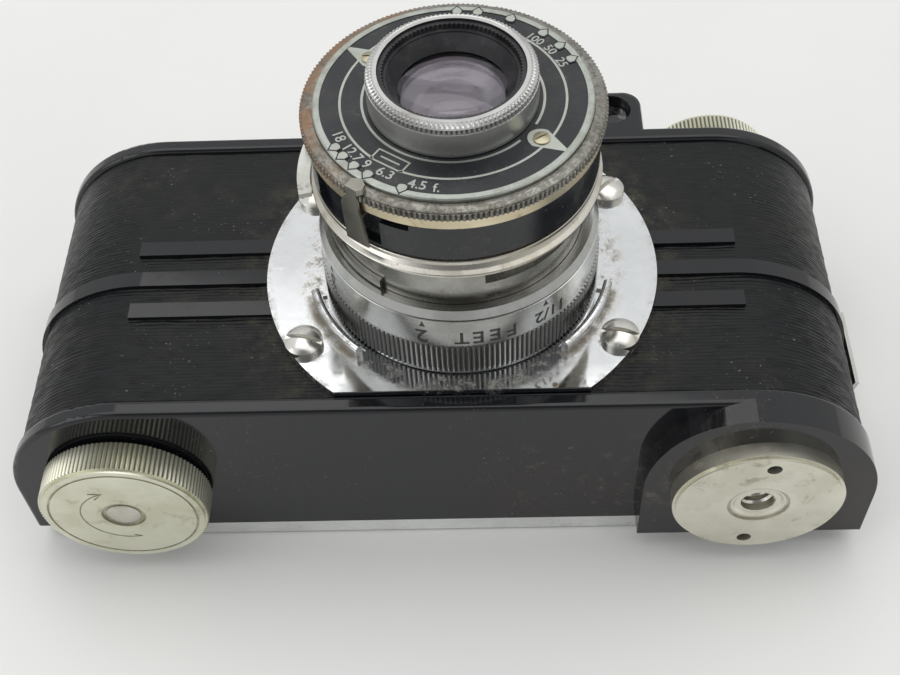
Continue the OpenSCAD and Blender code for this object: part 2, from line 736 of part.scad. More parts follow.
module barrel_tube() color(nickel) difference() {
    wall = 0.8;
    rotate_extrude() polygon([
        [tube_r - wall, barrel_z0], [skirt_r, barrel_z0], [skirt_r, skirt_z1 - 0.3],
        [skirt_r - 0.3, skirt_z1], [tube_r, skirt_z1], [tube_r, flange_z], [tube_r - wall, flange_z]]);
    // stepped window in the skirt's front edge
    sector_z(skirt_z1 - 2.6, skirt_z1 + 1, skirt_r + 1, tube_r + 0.05, -78, -34);
}

// ---- shutter ----

// Thin flange at the back, a neck, and the foot ring that the case stands on.
module shutter_flange() color(cream) {
    neck_r = 19.5;
    foot_z = case_z0 - 1.3;
    difference() {
        rotate_extrude() polygon([
            [0, flange_z], [flange_r - 0.2, flange_z], [flange_r, flange_z + 0.2],
            [flange_r, flange_z + 0.5], [flange_r - 0.1, flange_z + 0.6], [neck_r + 0.5, flange_z + 0.9],
            [neck_r, flange_z + 1.4], [neck_r, foot_z], [case_r - 0.1, foot_z], [case_r, foot_z + 0.1],
            [case_r, foot_z + 0.6], [case_r - 0.1, foot_z + 0.7], [neck_r, foot_z + 0.7],
            [neck_r, case_z0], [0, case_z0]]);
        rod_z(0, 0, flange_z - 1, case_z0 + 1, 8.4);
    }
}

module shutter_case() color(black) difference() {
    ring_z(case_z0, case_z1, case_r, case_in);
    sector_z(case_z1 - 1.5, case_z1 - 0.4, case_r + 1, case_in - 1, -153, -107);
    // shallow recess behind the aperture lever
    sector_z(case_z0 + 0.4, case_z1 + 1, case_r + 1, case_r - 0.9, -156, -119);
    sector_z(case_z0 - 0.1, case_z0 + 1.2, case_r + 1, case_in - 1, 143, 171);
}

module case_band() color(brass) {
    ring_z(case_z1, band_top, case_r + 0.3, case_in);
}

module mechanism_plate() color(brass) {
    difference() {
        ring_z(mech_z, mech_z + 0.8, case_in, 5);
        for (i = [0 : iris_n - 1]) rotate([0, 0, 72 * i + 20]) translate([iris_pin_r, 0, mech_z - 1])
            cylinder(h = 3, r = 0.5 + run);
        for (s = [-1, 1]) translate([s * 14, 0, mech_z - 1]) cylinder(h = 3, r = 0.6 + run);
    }
}

face_screw_r = 14.3;
face_screw_a = [-36, 144];

module face_plate() color(black) difference() {
    union() {
        rod_z(0, 0, band_top - 1, band_top, case_in);
        rod_z(0, 0, band_top, face_z - 0.25, 19.04);
        rotate_extrude() polygon([
            [18.1, face_z - 0.3], [19.04, face_z - 0.3], [19.04, face_z - 0.15], [18.85, face_z], [18.1, face_z]]);
        ring_z(face_z - 0.3, face_z - 0.1, 18.11, 9.9);
    }
    rod_z(0, 0, band_top - 3, face_z + 1, 9.9);
    for (a = face_screw_a) rotate([0, 0, a]) translate([face_screw_r, 0, 0])
        rod_z(0, 0, band_top - 3, face_z + 1, 0.8);
}

module face_screws() color(brass)
    for (a = face_screw_a) rotate([0, 0, a]) translate([face_screw_r, 0, face_z - 0.1])
        slotted_screw(1.15, 0.45, 0.75, 2.2, a == 144 ? 30 : 65);

module front_cell() color(chrome) {
    grip_z = rim_z - 1.35;
    bevel_z = rim_z - 0.6;
    difference() {
        union() {
            rotate_extrude() polygon([
                [0, cam_z + 1.2], [9.9, cam_z + 1.2], [9.9, face_z + 0.05], [rim_r, face_z + 0.05],
                [rim_r, grip_z], [rim_r - 0.5, grip_z + 0.1], [rim_r - 0.5, bevel_z + 0.15],
                [rim_r - 0.95, rim_z - 0.1], [rim_r - 1.1, rim_z], [0, rim_z]]);
            translate([0, 0, grip_z + 0.1]) linear_extrude(bevel_z - grip_z - 0.1)
                knurl_outline(rim_r - 0.05, 110, 0.3);
        }
        rod_z(0, 0, face_z - 1, rim_z + 1, 9.93);
        rod_z(0, 0, face_z - 1.2, face_z + 1, 9);
        rod_z(0, 0, 0, rim_z, 6.6);
    }
}

// Black cone with a knurled mouth that holds the front lens down.
module retaining_ring() color(black) {
    cone_z0 = face_z + 1.45;
    mouth_z = rim_z - 1.5;
    difference() {
        rod_z(0, 0, cone_z0, rim_z - 0.4, 9.92);
        translate([0, 0, cone_z0 - 0.2]) cylinder(h = mouth_z + 0.2 - cone_z0 + 0.01, r1 = lens_r - 0.08, r2 = 8.75);
        translate([0, 0, mouth_z]) cylinder(h = 1, r = 8.8);
        translate([0, 0, mouth_z + 0.3]) linear_extrude(2) knurl_outline(9.45, 90, 0.3);
    }
}

module front_lens() color(clear) lens(8.9, face_z - 1.15, face_z + 2.5, 24, 90);

module middle_lens() color(clear) difference() {
    rod_z(0, 0, cam_z + 1.7, cam_z + 3.5, 6.58);
    translate([0, 0, cam_z + 3.1 + 19]) sphere(r = 19);
    translate([0, 0, cam_z + 2.1 - 19]) sphere(r = 19);
}

module rear_cell() color(dark) difference() {
    union() {
        rod_z(0, 0, flange_z - 4, case_z0, 8.35);
        rod_z(0, 0, flange_z - 5.5, flange_z - 0.02, 10.5);
    }
    rod_z(0, 0, flange_z - 7, case_z0 + 1, 6.4);
    rod_z(0, 0, flange_z - 7, flange_z - 1.5, 7.4);
}

module rear_lens() color(clear) lens(7.38, flange_z - 4.6, flange_z - 1.5, 60, 22);

module speed_ring() color(nickel) difference() {
    union() {
        translate([0, 0, band_top + 0.15]) linear_extrude(speed_z1 - 0.4 - band_top - 0.15)
            knurl_outline(speed_r, 184, 0.25);
        rotate_extrude() polygon([
            [0, band_top + 0.05], [speed_r - 0.35, band_top + 0.05], [speed_r - 0.35, speed_z1 - 0.3],
            [speed_r - 0.5, speed_z1 - 0.2], [19.6, speed_z1], [0, speed_z1]]);
    }
    rod_z(0, 0, band_top - 1, speed_z1 + 1, 19.04 + run);
    rotate([0, 0, 75]) translate([speed_r, 0, band_top - 1]) cylinder(h = 4, r = 0.5);
}

// Flat lever up the side of the case, bent over the ring into a five-sided pointer.
lever_a = -127;
lever_r = speed_r + 0.08;

module aperture_lever() color(nickel) rotate([0, 0, lever_a]) {
    lever_t = 0.4;
    hook_z = speed_z1 + 0.1;
    hook_h = 0.9;
    foot_z = case_z1 - 1.3;
    intersection() {
        ring_z(lever_z, hook_z + hook_h, lever_r + lever_t, lever_r);
        rotate([90, 0, 90]) linear_extrude(30) polygon([
            [-2.05, lever_z], [1.7, lever_z], [0.75, case_z1], [0.6, band_top - 0.3], [0.6, hook_z + hook_h],
            [-1.1, hook_z + hook_h], [-1.1, band_top + 0.4], [-1.9, band_top], [-2.3, band_top - 1],
            [-2.2, case_z1 - 2.6]]);
    }
    translate([0, 0, hook_z]) linear_extrude(hook_h) polygon([
        [lever_r + lever_t, -1.15], [lever_r + lever_t, 0.8], [lever_r - 0.3, 1.25], [lever_r - 1.2, 0.95],
        [19.13, -0.15], [lever_r - 1.15, -1.15]]);
    // arm through the slot in the case
    block([case_in - 1, -1.1, foot_z], [lever_r + 0.2, 0.7, foot_z + 0.7]);
}

module aperture_cam() color(brass) difference() {
    ring_z(cam_z, cam_z + 0.9, case_in - 0.2, 13.8);
    rotate([0, 0, lever_a]) block([case_in - 1.01, -1.1, cam_z - 1], [case_in + 1, 0.7, cam_z + 2]);
}

// One crescent of the iris. Each lies in its own layer and turns on its own pin.
module iris_blade(i) {
    z = iris_z + i * blade_step;
    open_a = 12;
    color(dark) rotate([0, 0, 72 * i + 20]) translate([iris_pin_r, 0, 0]) {
        translate([0, 0, mech_z - 0.2]) cylinder(h = cam_z - 0.15 - mech_z + 0.2, r = 0.5);
        rotate([0, 0, open_a]) translate([-iris_pin_r, 0, z]) {
            linear_extrude(blade_t) union() {
                translate([iris_pin_r, 0]) circle(r = 1);
                translate([iris_pin_r - 2.5, -1]) square([2.5, 2]);
            }
            sector_z(0, blade_t, 11.6, lens_r, -5, 92);
        }
    }
}

module iris_blade_1() iris_blade(0);
module iris_blade_2() iris_blade(1);
module iris_blade_3() iris_blade(2);
module iris_blade_4() iris_blade(3);
module iris_blade_5() iris_blade(4);

// Finger lever of the release: a ring in the case, an arm out through its slot, and a flat tab beside
// the flange.
module release_lever() color(nickel) {
    tab_r = flange_r + 2;
    tab_z = flange_z - 0.2;
    ring_z(lever_z, lever_z + 0.7, case_in - 0.6, 16);
    rotate([0, 0, 158.5]) rotate_extrude(angle = 9) polygon([
        [case_in - 1.6, lever_z], [flange_r + 0.5, lever_z], [flange_r + 0.5, tab_z + 0.4],
        [tab_r - 0.2, tab_z + 0.4], [tab_r - 0.2, lever_z + 0.7], [case_in - 1.6, lever_z + 0.7]]);
    sector_z(tab_z, tab_z + 0.8, tab_r, flange_r + 0.15, 158, 193);
}

// Two leaves that close over the middle of the lens, each in its own layer on its own pin.
module shutter_blade(side, z) {
    pin_x = 14;
    color(dark) rotate([0, 0, side > 0 ? 0 : 180]) {
        translate([pin_x, 0, z - 0.2]) cylinder(h = mech_z + 0.6 - z + 0.2, r = 0.6);
        translate([0, 0, z]) linear_extrude(0.25) {
            translate([0.8, 0]) circle(r = 6.2);
            translate([1.5, -2.5]) square([pin_x - 1.5, 5]);
            translate([pin_x, 0]) circle(r = 1.4);
        }
    }
}

module shutter_blade_1() shutter_blade(1, blade_z);
module shutter_blade_2() shutter_blade(-1, blade_z + 0.5);

body_shell();
lens_plate();
plate_screws();
focus_mount();
film_gate();
tripod_bush();
finder_front_lens();
finder_eyepiece();
finder_rear_lens();
rewind_bush();
wind_bush();
catch_bush();
sprocket_bearings();
back_cover();
pressure_plate();
pressure_springs();
cassette_spring();
back_latch();
rewind_knob();
rewind_fork();
rewind_rivet();
wind_knob();
wind_screw();
take_up_spool();
ratchet_wheel();
ratchet_pawl();
sprocket();
counter_dial();
counter_nut();
film_catch();
focus_ring();
helicoid_sleeve();
barrel_tube();
shutter_flange();
shutter_case();
case_band();
mechanism_plate();
face_plate();
face_screws();
front_cell();
retaining_ring();
front_lens();
middle_lens();
rear_cell();
rear_lens();
speed_ring();
aperture_lever();
aperture_cam();
iris_blade_1();
iris_blade_2();
iris_blade_3();
iris_blade_4();
iris_blade_5();
release_lever();
shutter_blade_1();
shutter_blade_2();
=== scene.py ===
import math

import bpy
import numpy as np
from mathutils import Matrix, Vector


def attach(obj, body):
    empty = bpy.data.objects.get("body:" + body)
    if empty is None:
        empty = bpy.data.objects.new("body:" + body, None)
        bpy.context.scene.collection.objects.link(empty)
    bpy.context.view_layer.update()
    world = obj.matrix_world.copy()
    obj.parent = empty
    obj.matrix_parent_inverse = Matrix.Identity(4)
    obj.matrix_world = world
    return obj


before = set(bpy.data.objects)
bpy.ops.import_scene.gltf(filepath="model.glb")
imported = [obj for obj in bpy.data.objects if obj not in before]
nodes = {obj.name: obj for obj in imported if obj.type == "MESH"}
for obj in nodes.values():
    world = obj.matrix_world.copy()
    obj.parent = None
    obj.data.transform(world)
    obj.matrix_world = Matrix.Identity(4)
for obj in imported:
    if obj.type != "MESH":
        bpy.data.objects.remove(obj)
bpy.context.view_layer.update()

MM = 0.001

# Places that the drawn pieces share with the CAD part, in millimetres.
BODY_X = -4.1
CORNER_X = 46.05
CORNER_Z = 14.85
SKIN_R = 19.65
SKIN_Z = 34.5
SKIN_Y0 = -23.7
SKIN_Y1 = 27.5
WALL_Z0 = 4.1
REWIND = (-52.3, 17.1)
WINDER = (44.1, 17.1)
SPANNER_HOLES = ((45.0, 26.95, 1.1), (43.2, 7.25, 1.1))     # x, z and radius
COUNTER = (-30.0, 13.55)
PLATE_SCREW_X = 23.4
PLATE_SCREW_Y = 14.8
ENAMEL_Z = 70.65
RIM_Z = 70.75
SCALE_R = 20.7
LENS_AXIS = (0.0, 0.0)


# ---- materials ----

class Look:
    """One node material, with short calls for the nodes that the looks below share."""

    def __init__(self, name):
        self.material = bpy.data.materials.new(name)
        self.material.use_nodes = True
        self.tree = self.material.node_tree
        self.tree.nodes.clear()
        out = self.tree.nodes.new("ShaderNodeOutputMaterial")
        self.shader = self.tree.nodes.new("ShaderNodeBsdfPrincipled")
        self.tree.links.new(self.shader.outputs[0], out.inputs[0])
        self.where = self.tree.nodes.new("ShaderNodeTexCoord").outputs["Object"]
        split = self.tree.nodes.new("ShaderNodeSeparateXYZ")
        self.tree.links.new(self.where, split.inputs[0])
        self.x, self.y, self.z = split.outputs

    def put(self, socket, value):
        """Links a socket, or sets its value."""
        if isinstance(value, bpy.types.NodeSocket):
            self.tree.links.new(value, socket)
        elif isinstance(value, tuple) and len(value) == 3 and socket.type == "RGBA":
            socket.default_value = (*value, 1)
        else:
            socket.default_value = value

    def set(self, **values):
        """Puts values in the shader's inputs, named with _ for each space."""
        for name, value in values.items():
            self.put(self.shader.inputs[name.replace("_", " ")], value)

    def math(self, operation, a, b=0.0):
        node = self.tree.nodes.new("ShaderNodeMath")
        node.operation = operation
        self.put(node.inputs[0], a)
        self.put(node.inputs[1], b)
        return node.outputs[0]

    def noise(self, scale, detail=3.0, roughness=0.55, at=None, distortion=0.0):
        node = self.tree.nodes.new("ShaderNodeTexNoise")
        self.put(node.inputs["Vector"], self.where if at is None else at)
        self.put(node.inputs["Scale"], scale)
        self.put(node.inputs["Detail"], detail)
        self.put(node.inputs["Roughness"], roughness)
        self.put(node.inputs["Distortion"], distortion)
        return node.outputs[0]

    def step(self, value, low, high, to_low=0.0, to_high=1.0):
        """A smooth step from to_low, at low, to to_high, at high."""
        node = self.tree.nodes.new("ShaderNodeMapRange")
        node.interpolation_type = "SMOOTHSTEP"
        for socket, v in zip(node.inputs, (value, low, high, to_low, to_high)):
            self.put(socket, v)
        return node.outputs[0]

    def mix(self, factor, a, b):
        node = self.tree.nodes.new("ShaderNodeMix")
        node.data_type = "RGBA"
        self.put(node.inputs[0], factor)
        self.put(node.inputs[6], a)
        self.put(node.inputs[7], b)
        return node.outputs[2]

    def vector(self, x, y, z):
        node = self.tree.nodes.new("ShaderNodeCombineXYZ")
        for socket, v in zip(node.inputs, (x, y, z)):
            self.put(socket, v)
        return node.outputs[0]

    def stretched(self, x, y, z):
        return self.vector(self.math("MULTIPLY", self.x, x), self.math("MULTIPLY", self.y, y),
                           self.math("MULTIPLY", self.z, z))

    def distance(self, a, b, a0, b0):
        """Distance in metres from the line where socket a is a0 and socket b is b0, both in mm."""
        da = self.math("SUBTRACT", a, a0 * MM)
        db = self.math("SUBTRACT", b, b0 * MM)
        total = self.math("ADD", self.math("MULTIPLY", da, da), self.math("MULTIPLY", db, db))
        return self.math("SQRT", total)

    def bump(self, height, depth, strength=1.0, under=None):
        """A normal from a height, over the normal of the layer under it."""
        node = self.tree.nodes.new("ShaderNodeBump")
        node.inputs["Strength"].default_value = strength
        node.inputs["Distance"].default_value = depth
        self.put(node.inputs["Height"], height)
        if under is not None:
            self.put(node.inputs["Normal"], under)
        return node.outputs[0]

    def times(self, *values):
        total = values[0]
        for v in values[1:]:
            total = self.math("MULTIPLY", total, v)
        return total

    def plus(self, a, b):
        return self.math("ADD", a, b)

    def most(self, *values):
        total = values[0]
        for v in values[1:]:
            total = self.math("MAXIMUM", total, v)
        return total

    def opposite(self, value):
        return self.math("SUBTRACT", 1.0, value)

    def between(self, value, start, full, last, end):
        """1 from full to last, falling to 0 at start and at end."""
        return self.times(self.step(value, start, full), self.step(value, last, end, 1.0, 0.0))


def metal(name, colour, shade, rough, stain, dirt=0.5, axis=None, centre=LENS_AXIS, lines=1.0, pits=0.0,
          grooves=(), holes=(), knurl=None, black_bore=None, rust_side=None, corrosion=0.0):
    """Bare metal: cloudy polish, grime, pits, and fine turning lines round an axis if it has one.

    In mm: grooves are (inner, outer) radii that hold dirt, holes are (x, z, radius) of holes across Y that
    are painted near-black as shade, knurl is (root, tip, from, to) of a knurl with painted shade in its
    grooves, and black_bore is the radius within which the metal is black. rust_side is the direction in
    degrees where rust shows through, and corrosion is the share of coarse dull spots."""
    k = Look(name)
    cloud = k.noise(90, 5, 0.6)
    fine = k.noise(1400, 4, 0.6)
    smudge = k.noise(330, 6, 0.68, distortion=0.6)
    grime = k.times(k.step(smudge, 0.52, 0.74), k.step(cloud, 0.42, 0.66), dirt)
    tone = k.mix(k.step(cloud, 0.35, 0.7), colour, shade)
    if axis is None:
        grain = k.noise(700, 3, 0.6, at=k.stretched(1.0, 6.0, 3.0))
    else:
        other, along = (k.y, k.z) if axis == "Z" else (k.z, k.y)
        radial = k.distance(k.x, other, *centre)
        grain = k.noise(9000, 3, 0.7, at=k.vector(radial, along, 0.0))
    pit = k.step(k.noise(2300, 2, 0.5), 0.70, 0.78)
    dark = k.most(grime, k.times(pit, pits))
    for inner, outer in grooves:
        held = k.between(radial, (inner - 0.12) * MM, inner * MM, outer * MM, (outer + 0.25) * MM)
        dark = k.most(dark, k.times(held, k.step(k.noise(500, 4, 0.6), 0.25, 0.6, 0.15, 0.5)))
    tone = k.mix(k.step(grain, 0.3, 0.75, 0.0, 0.35 * lines), tone, shade)
    if corrosion:
        eaten = k.step(k.noise(1250, 4, 0.75), 0.44, 0.60)
        tone = k.mix(k.times(eaten, corrosion), tone, tuple(0.45 * c for c in shade))
    if rust_side is not None:
        a = math.radians(rust_side)
        toward = k.plus(k.times(k.x, math.cos(a)), k.times(k.y, math.sin(a)))
        rust = k.times(k.step(toward, 4 * MM, 19 * MM), k.step(k.noise(260, 6, 0.7), 0.38, 0.62))
        tone = k.mix(k.times(rust, 0.75), tone, (0.42, 0.24, 0.14))
        dark = k.most(dark, k.times(rust, 0.3))
    tone = k.mix(dark, tone, stain)
    # painted shade: each hole is coloured near-black for the shade inside it
    for x, z, r in holes:
        hole = k.step(k.distance(k.x, k.z, x, z), (r - 0.08) * MM, (r + 0.05) * MM, 1.0, 0.0)
        tone = k.mix(hole, tone, (0.012, 0.012, 0.012))
        dark = k.most(dark, hole)
    # painted shade: the knurl's grooves are coloured near-black, duller and less metallic, for the shade in
    # them
    if knurl is not None:
        root, tip, low, high = (v * MM for v in knurl)
        deep = k.step(radial, root + 0.1 * (tip - root), root + 0.7 * (tip - root), 0.75, 0.0)
        deep = k.times(deep, k.between(along, low, low + 0.1 * MM, high - 0.1 * MM, high))
        tone = k.mix(deep, tone, (0.022, 0.020, 0.016))
        dark = k.most(dark, k.times(deep, 0.6))
    if black_bore is not None:
        bore = k.step(radial, (black_bore - 0.03) * MM, (black_bore + 0.03) * MM, 1.0, 0.0)
        tone = k.mix(bore, tone, (0.012, 0.012, 0.013))
        dark = k.most(dark, bore)
    polish = k.plus(k.step(cloud, 0.3, 0.75, rough, rough + 0.14), k.times(grain, 0.06 * lines))
    relief = k.bump(fine, 0.01 * MM, 0.25, k.bump(grain, 0.012 * MM, 0.35 * lines))
    if corrosion:
        relief = k.bump(k.opposite(eaten), 0.07 * MM, 0.8 * corrosion, relief)
    k.set(Base_Color=tone, Metallic=k.step(dark, 0.15, 0.9, 1.0, 0.25),
          Roughness=k.plus(polish, k.times(dark, 0.35)),
          Normal=k.bump(k.opposite(pit), 0.05 * MM, 0.7 * pits, relief))
    return k.material


def bakelite_look():
    """Glossy black moulding: faint cloud and red cast, hairline scuffs, grey dust in patches."""
    k = Look("bakelite_moulding")
    cloud = k.noise(45, 4, 0.5)
    haze = k.step(k.noise(160, 6, 0.65), 0.45, 0.8)
    scuff_a = k.step(k.noise(120, 5, 0.75, at=k.stretched(1.0, 8.0, 14.0), distortion=1.2), 0.64, 0.72)
    scuff_b = k.step(k.noise(150, 5, 0.75, at=k.stretched(11.0, 6.0, 1.5), distortion=0.8), 0.66, 0.73)
    scuff = k.times(k.most(scuff_a, scuff_b), k.step(k.noise(60, 3, 0.5), 0.52, 0.66))
    by_disc = k.step(k.distance(k.x, k.z, 28.0, 14.0), 3 * MM, 22 * MM, 1.0, 0.0)
    speck = k.step(k.noise(1900, 2, 0.5), 0.69, 0.75)
    dusty = k.times(k.step(k.noise(420, 6, 0.7), 0.50, 0.72), k.most(by_disc, k.step(cloud, 0.56, 0.75)))
    dust = k.most(k.times(dusty, 0.32), k.times(speck, k.step(cloud, 0.48, 0.62), 0.75))
    black = k.mix(k.step(k.noise(24, 2, 0.5), 0.56, 0.74), (0.0085, 0.009, 0.011), (0.015, 0.0085, 0.009))
    tone = k.mix(k.times(scuff, 0.42), black, (0.075, 0.076, 0.078))
    gloss = k.plus(k.step(haze, 0.0, 1.0, 0.07, 0.17), k.times(scuff, 0.18))
    ripple = k.bump(k.noise(260, 2, 0.4), 0.05 * MM, 0.12)
    k.set(Base_Color=k.mix(dust, tone, (0.16, 0.145, 0.115)), Roughness=k.plus(gloss, k.times(dust, 0.5)),
          Normal=k.bump(k.most(scuff, dust), 0.015 * MM, 0.35, ripple), IOR=1.46)
    return k.material


def skin_look():
    """The ribbed front: dull black ridges, dust in the grooves, tan dirt near the lens plate."""
    k = Look("ribbed_skin")
    streak = k.noise(260, 6, 0.7, at=k.stretched(1.0, 7.0, 1.0), distortion=0.4)
    thread = k.noise(900, 3, 0.6, at=k.stretched(1.0, 2.6, 1.0))
    cloud = k.noise(38, 4, 0.55)
    radial = k.distance(k.x, k.y, *LENS_AXIS)
    near = k.times(k.step(radial, 30 * MM, 40 * MM, 1.0, 0.0), k.step(k.z, 33 * MM, 34 * MM))
    speck = k.times(k.step(k.noise(2100, 2, 0.5), 0.68, 0.74), k.step(k.noise(120, 3, 0.6), 0.46, 0.62))
    patch = k.most(near, k.step(cloud, 0.50, 0.70, 0.0, 0.45))
    dirt = k.times(k.step(k.noise(310, 6, 0.72), 0.42, 0.68), patch)
    black = k.mix(k.step(streak, 0.36, 0.70), (0.002, 0.0024, 0.003), (0.0085, 0.0095, 0.011))
    dusted = k.mix(k.times(dirt, 0.40), black, (0.118, 0.110, 0.074))
    k.set(Base_Color=k.mix(k.times(speck, 0.6), dusted, (0.24, 0.24, 0.22)),
          Roughness=k.plus(k.step(streak, 0.3, 0.7, 0.27, 0.45), k.times(dirt, 0.2)),
          Normal=k.bump(k.noise(2600, 3, 0.6), 0.03 * MM, 0.4, k.bump(thread, 0.09 * MM, 0.6)), IOR=1.3)
    return k.material


def plate_look():
    """Polished chrome: hazy patches, pin pits, tan dirt by the rails, the screws and the edge, and painted
    shade in a band at the foot of a rail.
    """
    k = Look("chrome_plate")
    cloud = k.noise(70, 6, 0.62)
    wipe = k.noise(420, 5, 0.7, at=k.stretched(1.0, 3.5, 1.0), distortion=0.5)
    radial = k.distance(k.x, k.y, *LENS_AXIS)
    rails = k.between(radial, 20.5 * MM, 22.2 * MM, 23.1 * MM, 26.2 * MM)
    rings = [k.step(k.distance(k.x, k.y, x, y), 2.7 * MM, 4.4 * MM, 1.0, 0.0)
             for x in (-PLATE_SCREW_X, PLATE_SCREW_X) for y in (-PLATE_SCREW_Y, PLATE_SCREW_Y)]
    edge = k.step(radial, 28.8 * MM, 30.2 * MM)
    grain = k.noise(520, 6, 0.75)
    dirt = k.times(k.step(grain, 0.42, 0.66), k.most(rails, *rings, k.times(edge, 0.7)))
    pit = k.times(k.step(k.noise(1500, 2, 0.5), 0.71, 0.76), k.step(k.noise(130, 3, 0.5), 0.46, 0.6))
    hole = k.step(k.distance(k.x, k.y, 13.5, -23.2), 0.3 * MM, 0.55 * MM, 1.0, 0.0)
    # painted shade: a dark band at the foot of a rail, for the shade in the slot beside it
    foot = k.times(k.step(radial, 23.45 * MM, 23.6 * MM), k.step(radial, 23.7 * MM, 25.2 * MM, 0.9, 0.0),
                   k.between(k.y, -18.2 * MM, -17.2 * MM, -6.2 * MM, -4.8 * MM))
    foot = k.times(foot, k.step(grain, 0.3, 0.6, 0.35, 1.0))
    dark = k.most(k.times(dirt, 0.75), k.times(pit, 0.8), hole, foot)
    base = k.mix(k.step(cloud, 0.35, 0.7), (0.76, 0.77, 0.78), (0.62, 0.63, 0.64))
    haze = k.plus(k.step(cloud, 0.42, 0.72, 0.05, 0.20), k.step(wipe, 0.5, 0.78, 0.0, 0.10))
    ripple = k.bump(k.noise(180, 2, 0.5), 0.05 * MM, 0.10)
    k.set(Base_Color=k.mix(dark, base, (0.16, 0.125, 0.07)), Metallic=k.step(dark, 0.2, 0.9, 1.0, 0.2),
          Roughness=k.plus(haze, k.times(dark, 0.4)), Normal=k.bump(k.opposite(dark), 0.02 * MM, 0.4, ripple))
    return k.material


def enamel_look(name, rim):
    """Black enamel, dusty with age. With rim set, the raised edge of the dial is bare nickel."""
    k = Look(name)
    cloud = k.noise(150, 5, 0.6)
    dusty = k.times(k.step(k.noise(800, 5, 0.7), 0.52, 0.74), k.step(cloud, 0.44, 0.66))
    speck = k.step(k.noise(2600, 2, 0.5), 0.70, 0.76)
    radial = k.distance(k.x, k.y, *LENS_AXIS)
    band = k.noise(2600, 2, 0.6, at=k.vector(radial, k.z, 0.0))
    black = k.mix(k.step(cloud, 0.4, 0.7), (0.010, 0.0115, 0.0145), (0.021, 0.021, 0.023))
    dust = k.most(k.times(dusty, 0.35), k.times(speck, 0.45))
    tone = k.mix(dust, black, (0.20, 0.185, 0.15))
    gloss = k.plus(k.step(cloud, 0.3, 0.7, 0.20, 0.36), k.times(dust, 0.4))
    if rim:
        raised = k.step(k.z, (ENAMEL_Z + 0.04) * MM, (RIM_Z - 0.03) * MM)
        outside = k.step(radial, 18.78 * MM, 18.82 * MM)
        bare = k.times(k.step(radial, 18.0 * MM, 18.12 * MM), k.most(raised, outside))
        worn = k.mix(k.step(k.noise(420, 6, 0.7), 0.4, 0.68), (0.45, 0.48, 0.44), (0.34, 0.35, 0.31))
        tone = k.mix(bare, tone, worn)
        gloss = k.plus(k.times(k.opposite(bare), gloss), k.times(bare, 0.36))
        k.set(Metallic=bare)
    lines = k.bump(band, 0.02 * MM, 0.25)
    k.set(Base_Color=tone, Roughness=gloss, Normal=k.bump(k.noise(1200, 3, 0.6), 0.02 * MM, 0.25, lines))
    return k.material


def flat_black(name, colour, rough):
    """Matt black metal or moulding inside the camera, with rubbed edges and dust."""
    k = Look(name)
    cloud = k.noise(210, 5, 0.6)
    dust = k.times(k.step(k.noise(900, 5, 0.7), 0.5, 0.74), k.step(cloud, 0.42, 0.7), 0.5)
    lighter = tuple(2.4 * c + 0.01 for c in colour)
    k.set(Base_Color=k.mix(dust, k.mix(k.step(cloud, 0.35, 0.7), colour, lighter), (0.15, 0.14, 0.12)),
          Roughness=k.step(cloud, 0.3, 0.75, rough, rough + 0.2),
          Normal=k.bump(k.noise(1700, 4, 0.6), 0.03 * MM, 0.4))
    return k.material


def glass_look(name, tint, cast):
    """Polished glass with a faint coating colour and a little dust."""
    k = Look(name)
    dust = k.times(k.step(k.noise(1500, 4, 0.7), 0.60, 0.78), k.step(k.noise(170, 3, 0.6), 0.4, 0.7))
    k.set(Base_Color=k.mix(k.times(dust, 0.2), tint, (0.72, 0.71, 0.68)), Specular_Tint=cast,
          Roughness=k.plus(k.times(dust, 0.16), 0.015), Transmission_Weight=1.0, IOR=1.62,
          Normal=k.bump(dust, 0.004 * MM, 0.3))
    return k.material


def paint_look(name, colour, worn, rough):
    """The filling of an engraved line or number, thin and slightly rubbed."""
    k = Look(name)
    rub = k.step(k.noise(1300, 5, 0.7), 0.46, 0.72)
    k.set(Base_Color=k.mix(k.times(rub, 0.7), colour, worn),
          Roughness=k.step(rub, 0.0, 1.0, rough, rough + 0.2), Normal=k.bump(rub, 0.01 * MM, 0.3))
    return k.material


TAN = (0.20, 0.155, 0.09)
RUST = (0.24, 0.16, 0.09)
bakelite = bakelite_look()
skin_black = skin_look()
chrome = plate_look()
screw_steel = metal("screw_steel", (0.72, 0.71, 0.68), (0.50, 0.48, 0.43), 0.14, TAN, 0.8,
                    lines=0.5, pits=0.4)
brass = metal("aged_brass", (0.72, 0.60, 0.36), (0.52, 0.42, 0.24), 0.26, TAN, 0.7, "Z")
brass_plain = metal("spring_brass", (0.66, 0.53, 0.29), (0.50, 0.39, 0.20), 0.22, TAN, 0.4)
nickel_ring = metal("turned_nickel", (0.53, 0.535, 0.52), (0.34, 0.345, 0.33), 0.13, TAN, 0.5, "Z",
                    lines=1.2, pits=0.25, knurl=(20.58, 21.0, 36.4, 42.3))
cell_metal = metal("cell_nickel", (0.60, 0.60, 0.59), (0.46, 0.46, 0.45), 0.33, TAN, 0.6, "Z",
                   lines=0.8, pits=0.3, knurl=(11.25, 11.55, 74.6, 75.4), black_bore=9.96)
bevel_metal = metal("bevel_nickel", (0.58, 0.58, 0.57), (0.40, 0.40, 0.39), 0.14, TAN, 0.5,
                    lines=0.3, pits=0.3)
nickel_tube = metal("barrel_nickel", (0.46, 0.455, 0.43), (0.27, 0.265, 0.245), 0.17, RUST, 0.9,
                    "Z", pits=0.3)
flange_metal = metal("flange_nickel", (0.64, 0.62, 0.58), (0.44, 0.41, 0.34), 0.20, (0.20, 0.15, 0.09), 1.0,
                     "Z", pits=0.5)
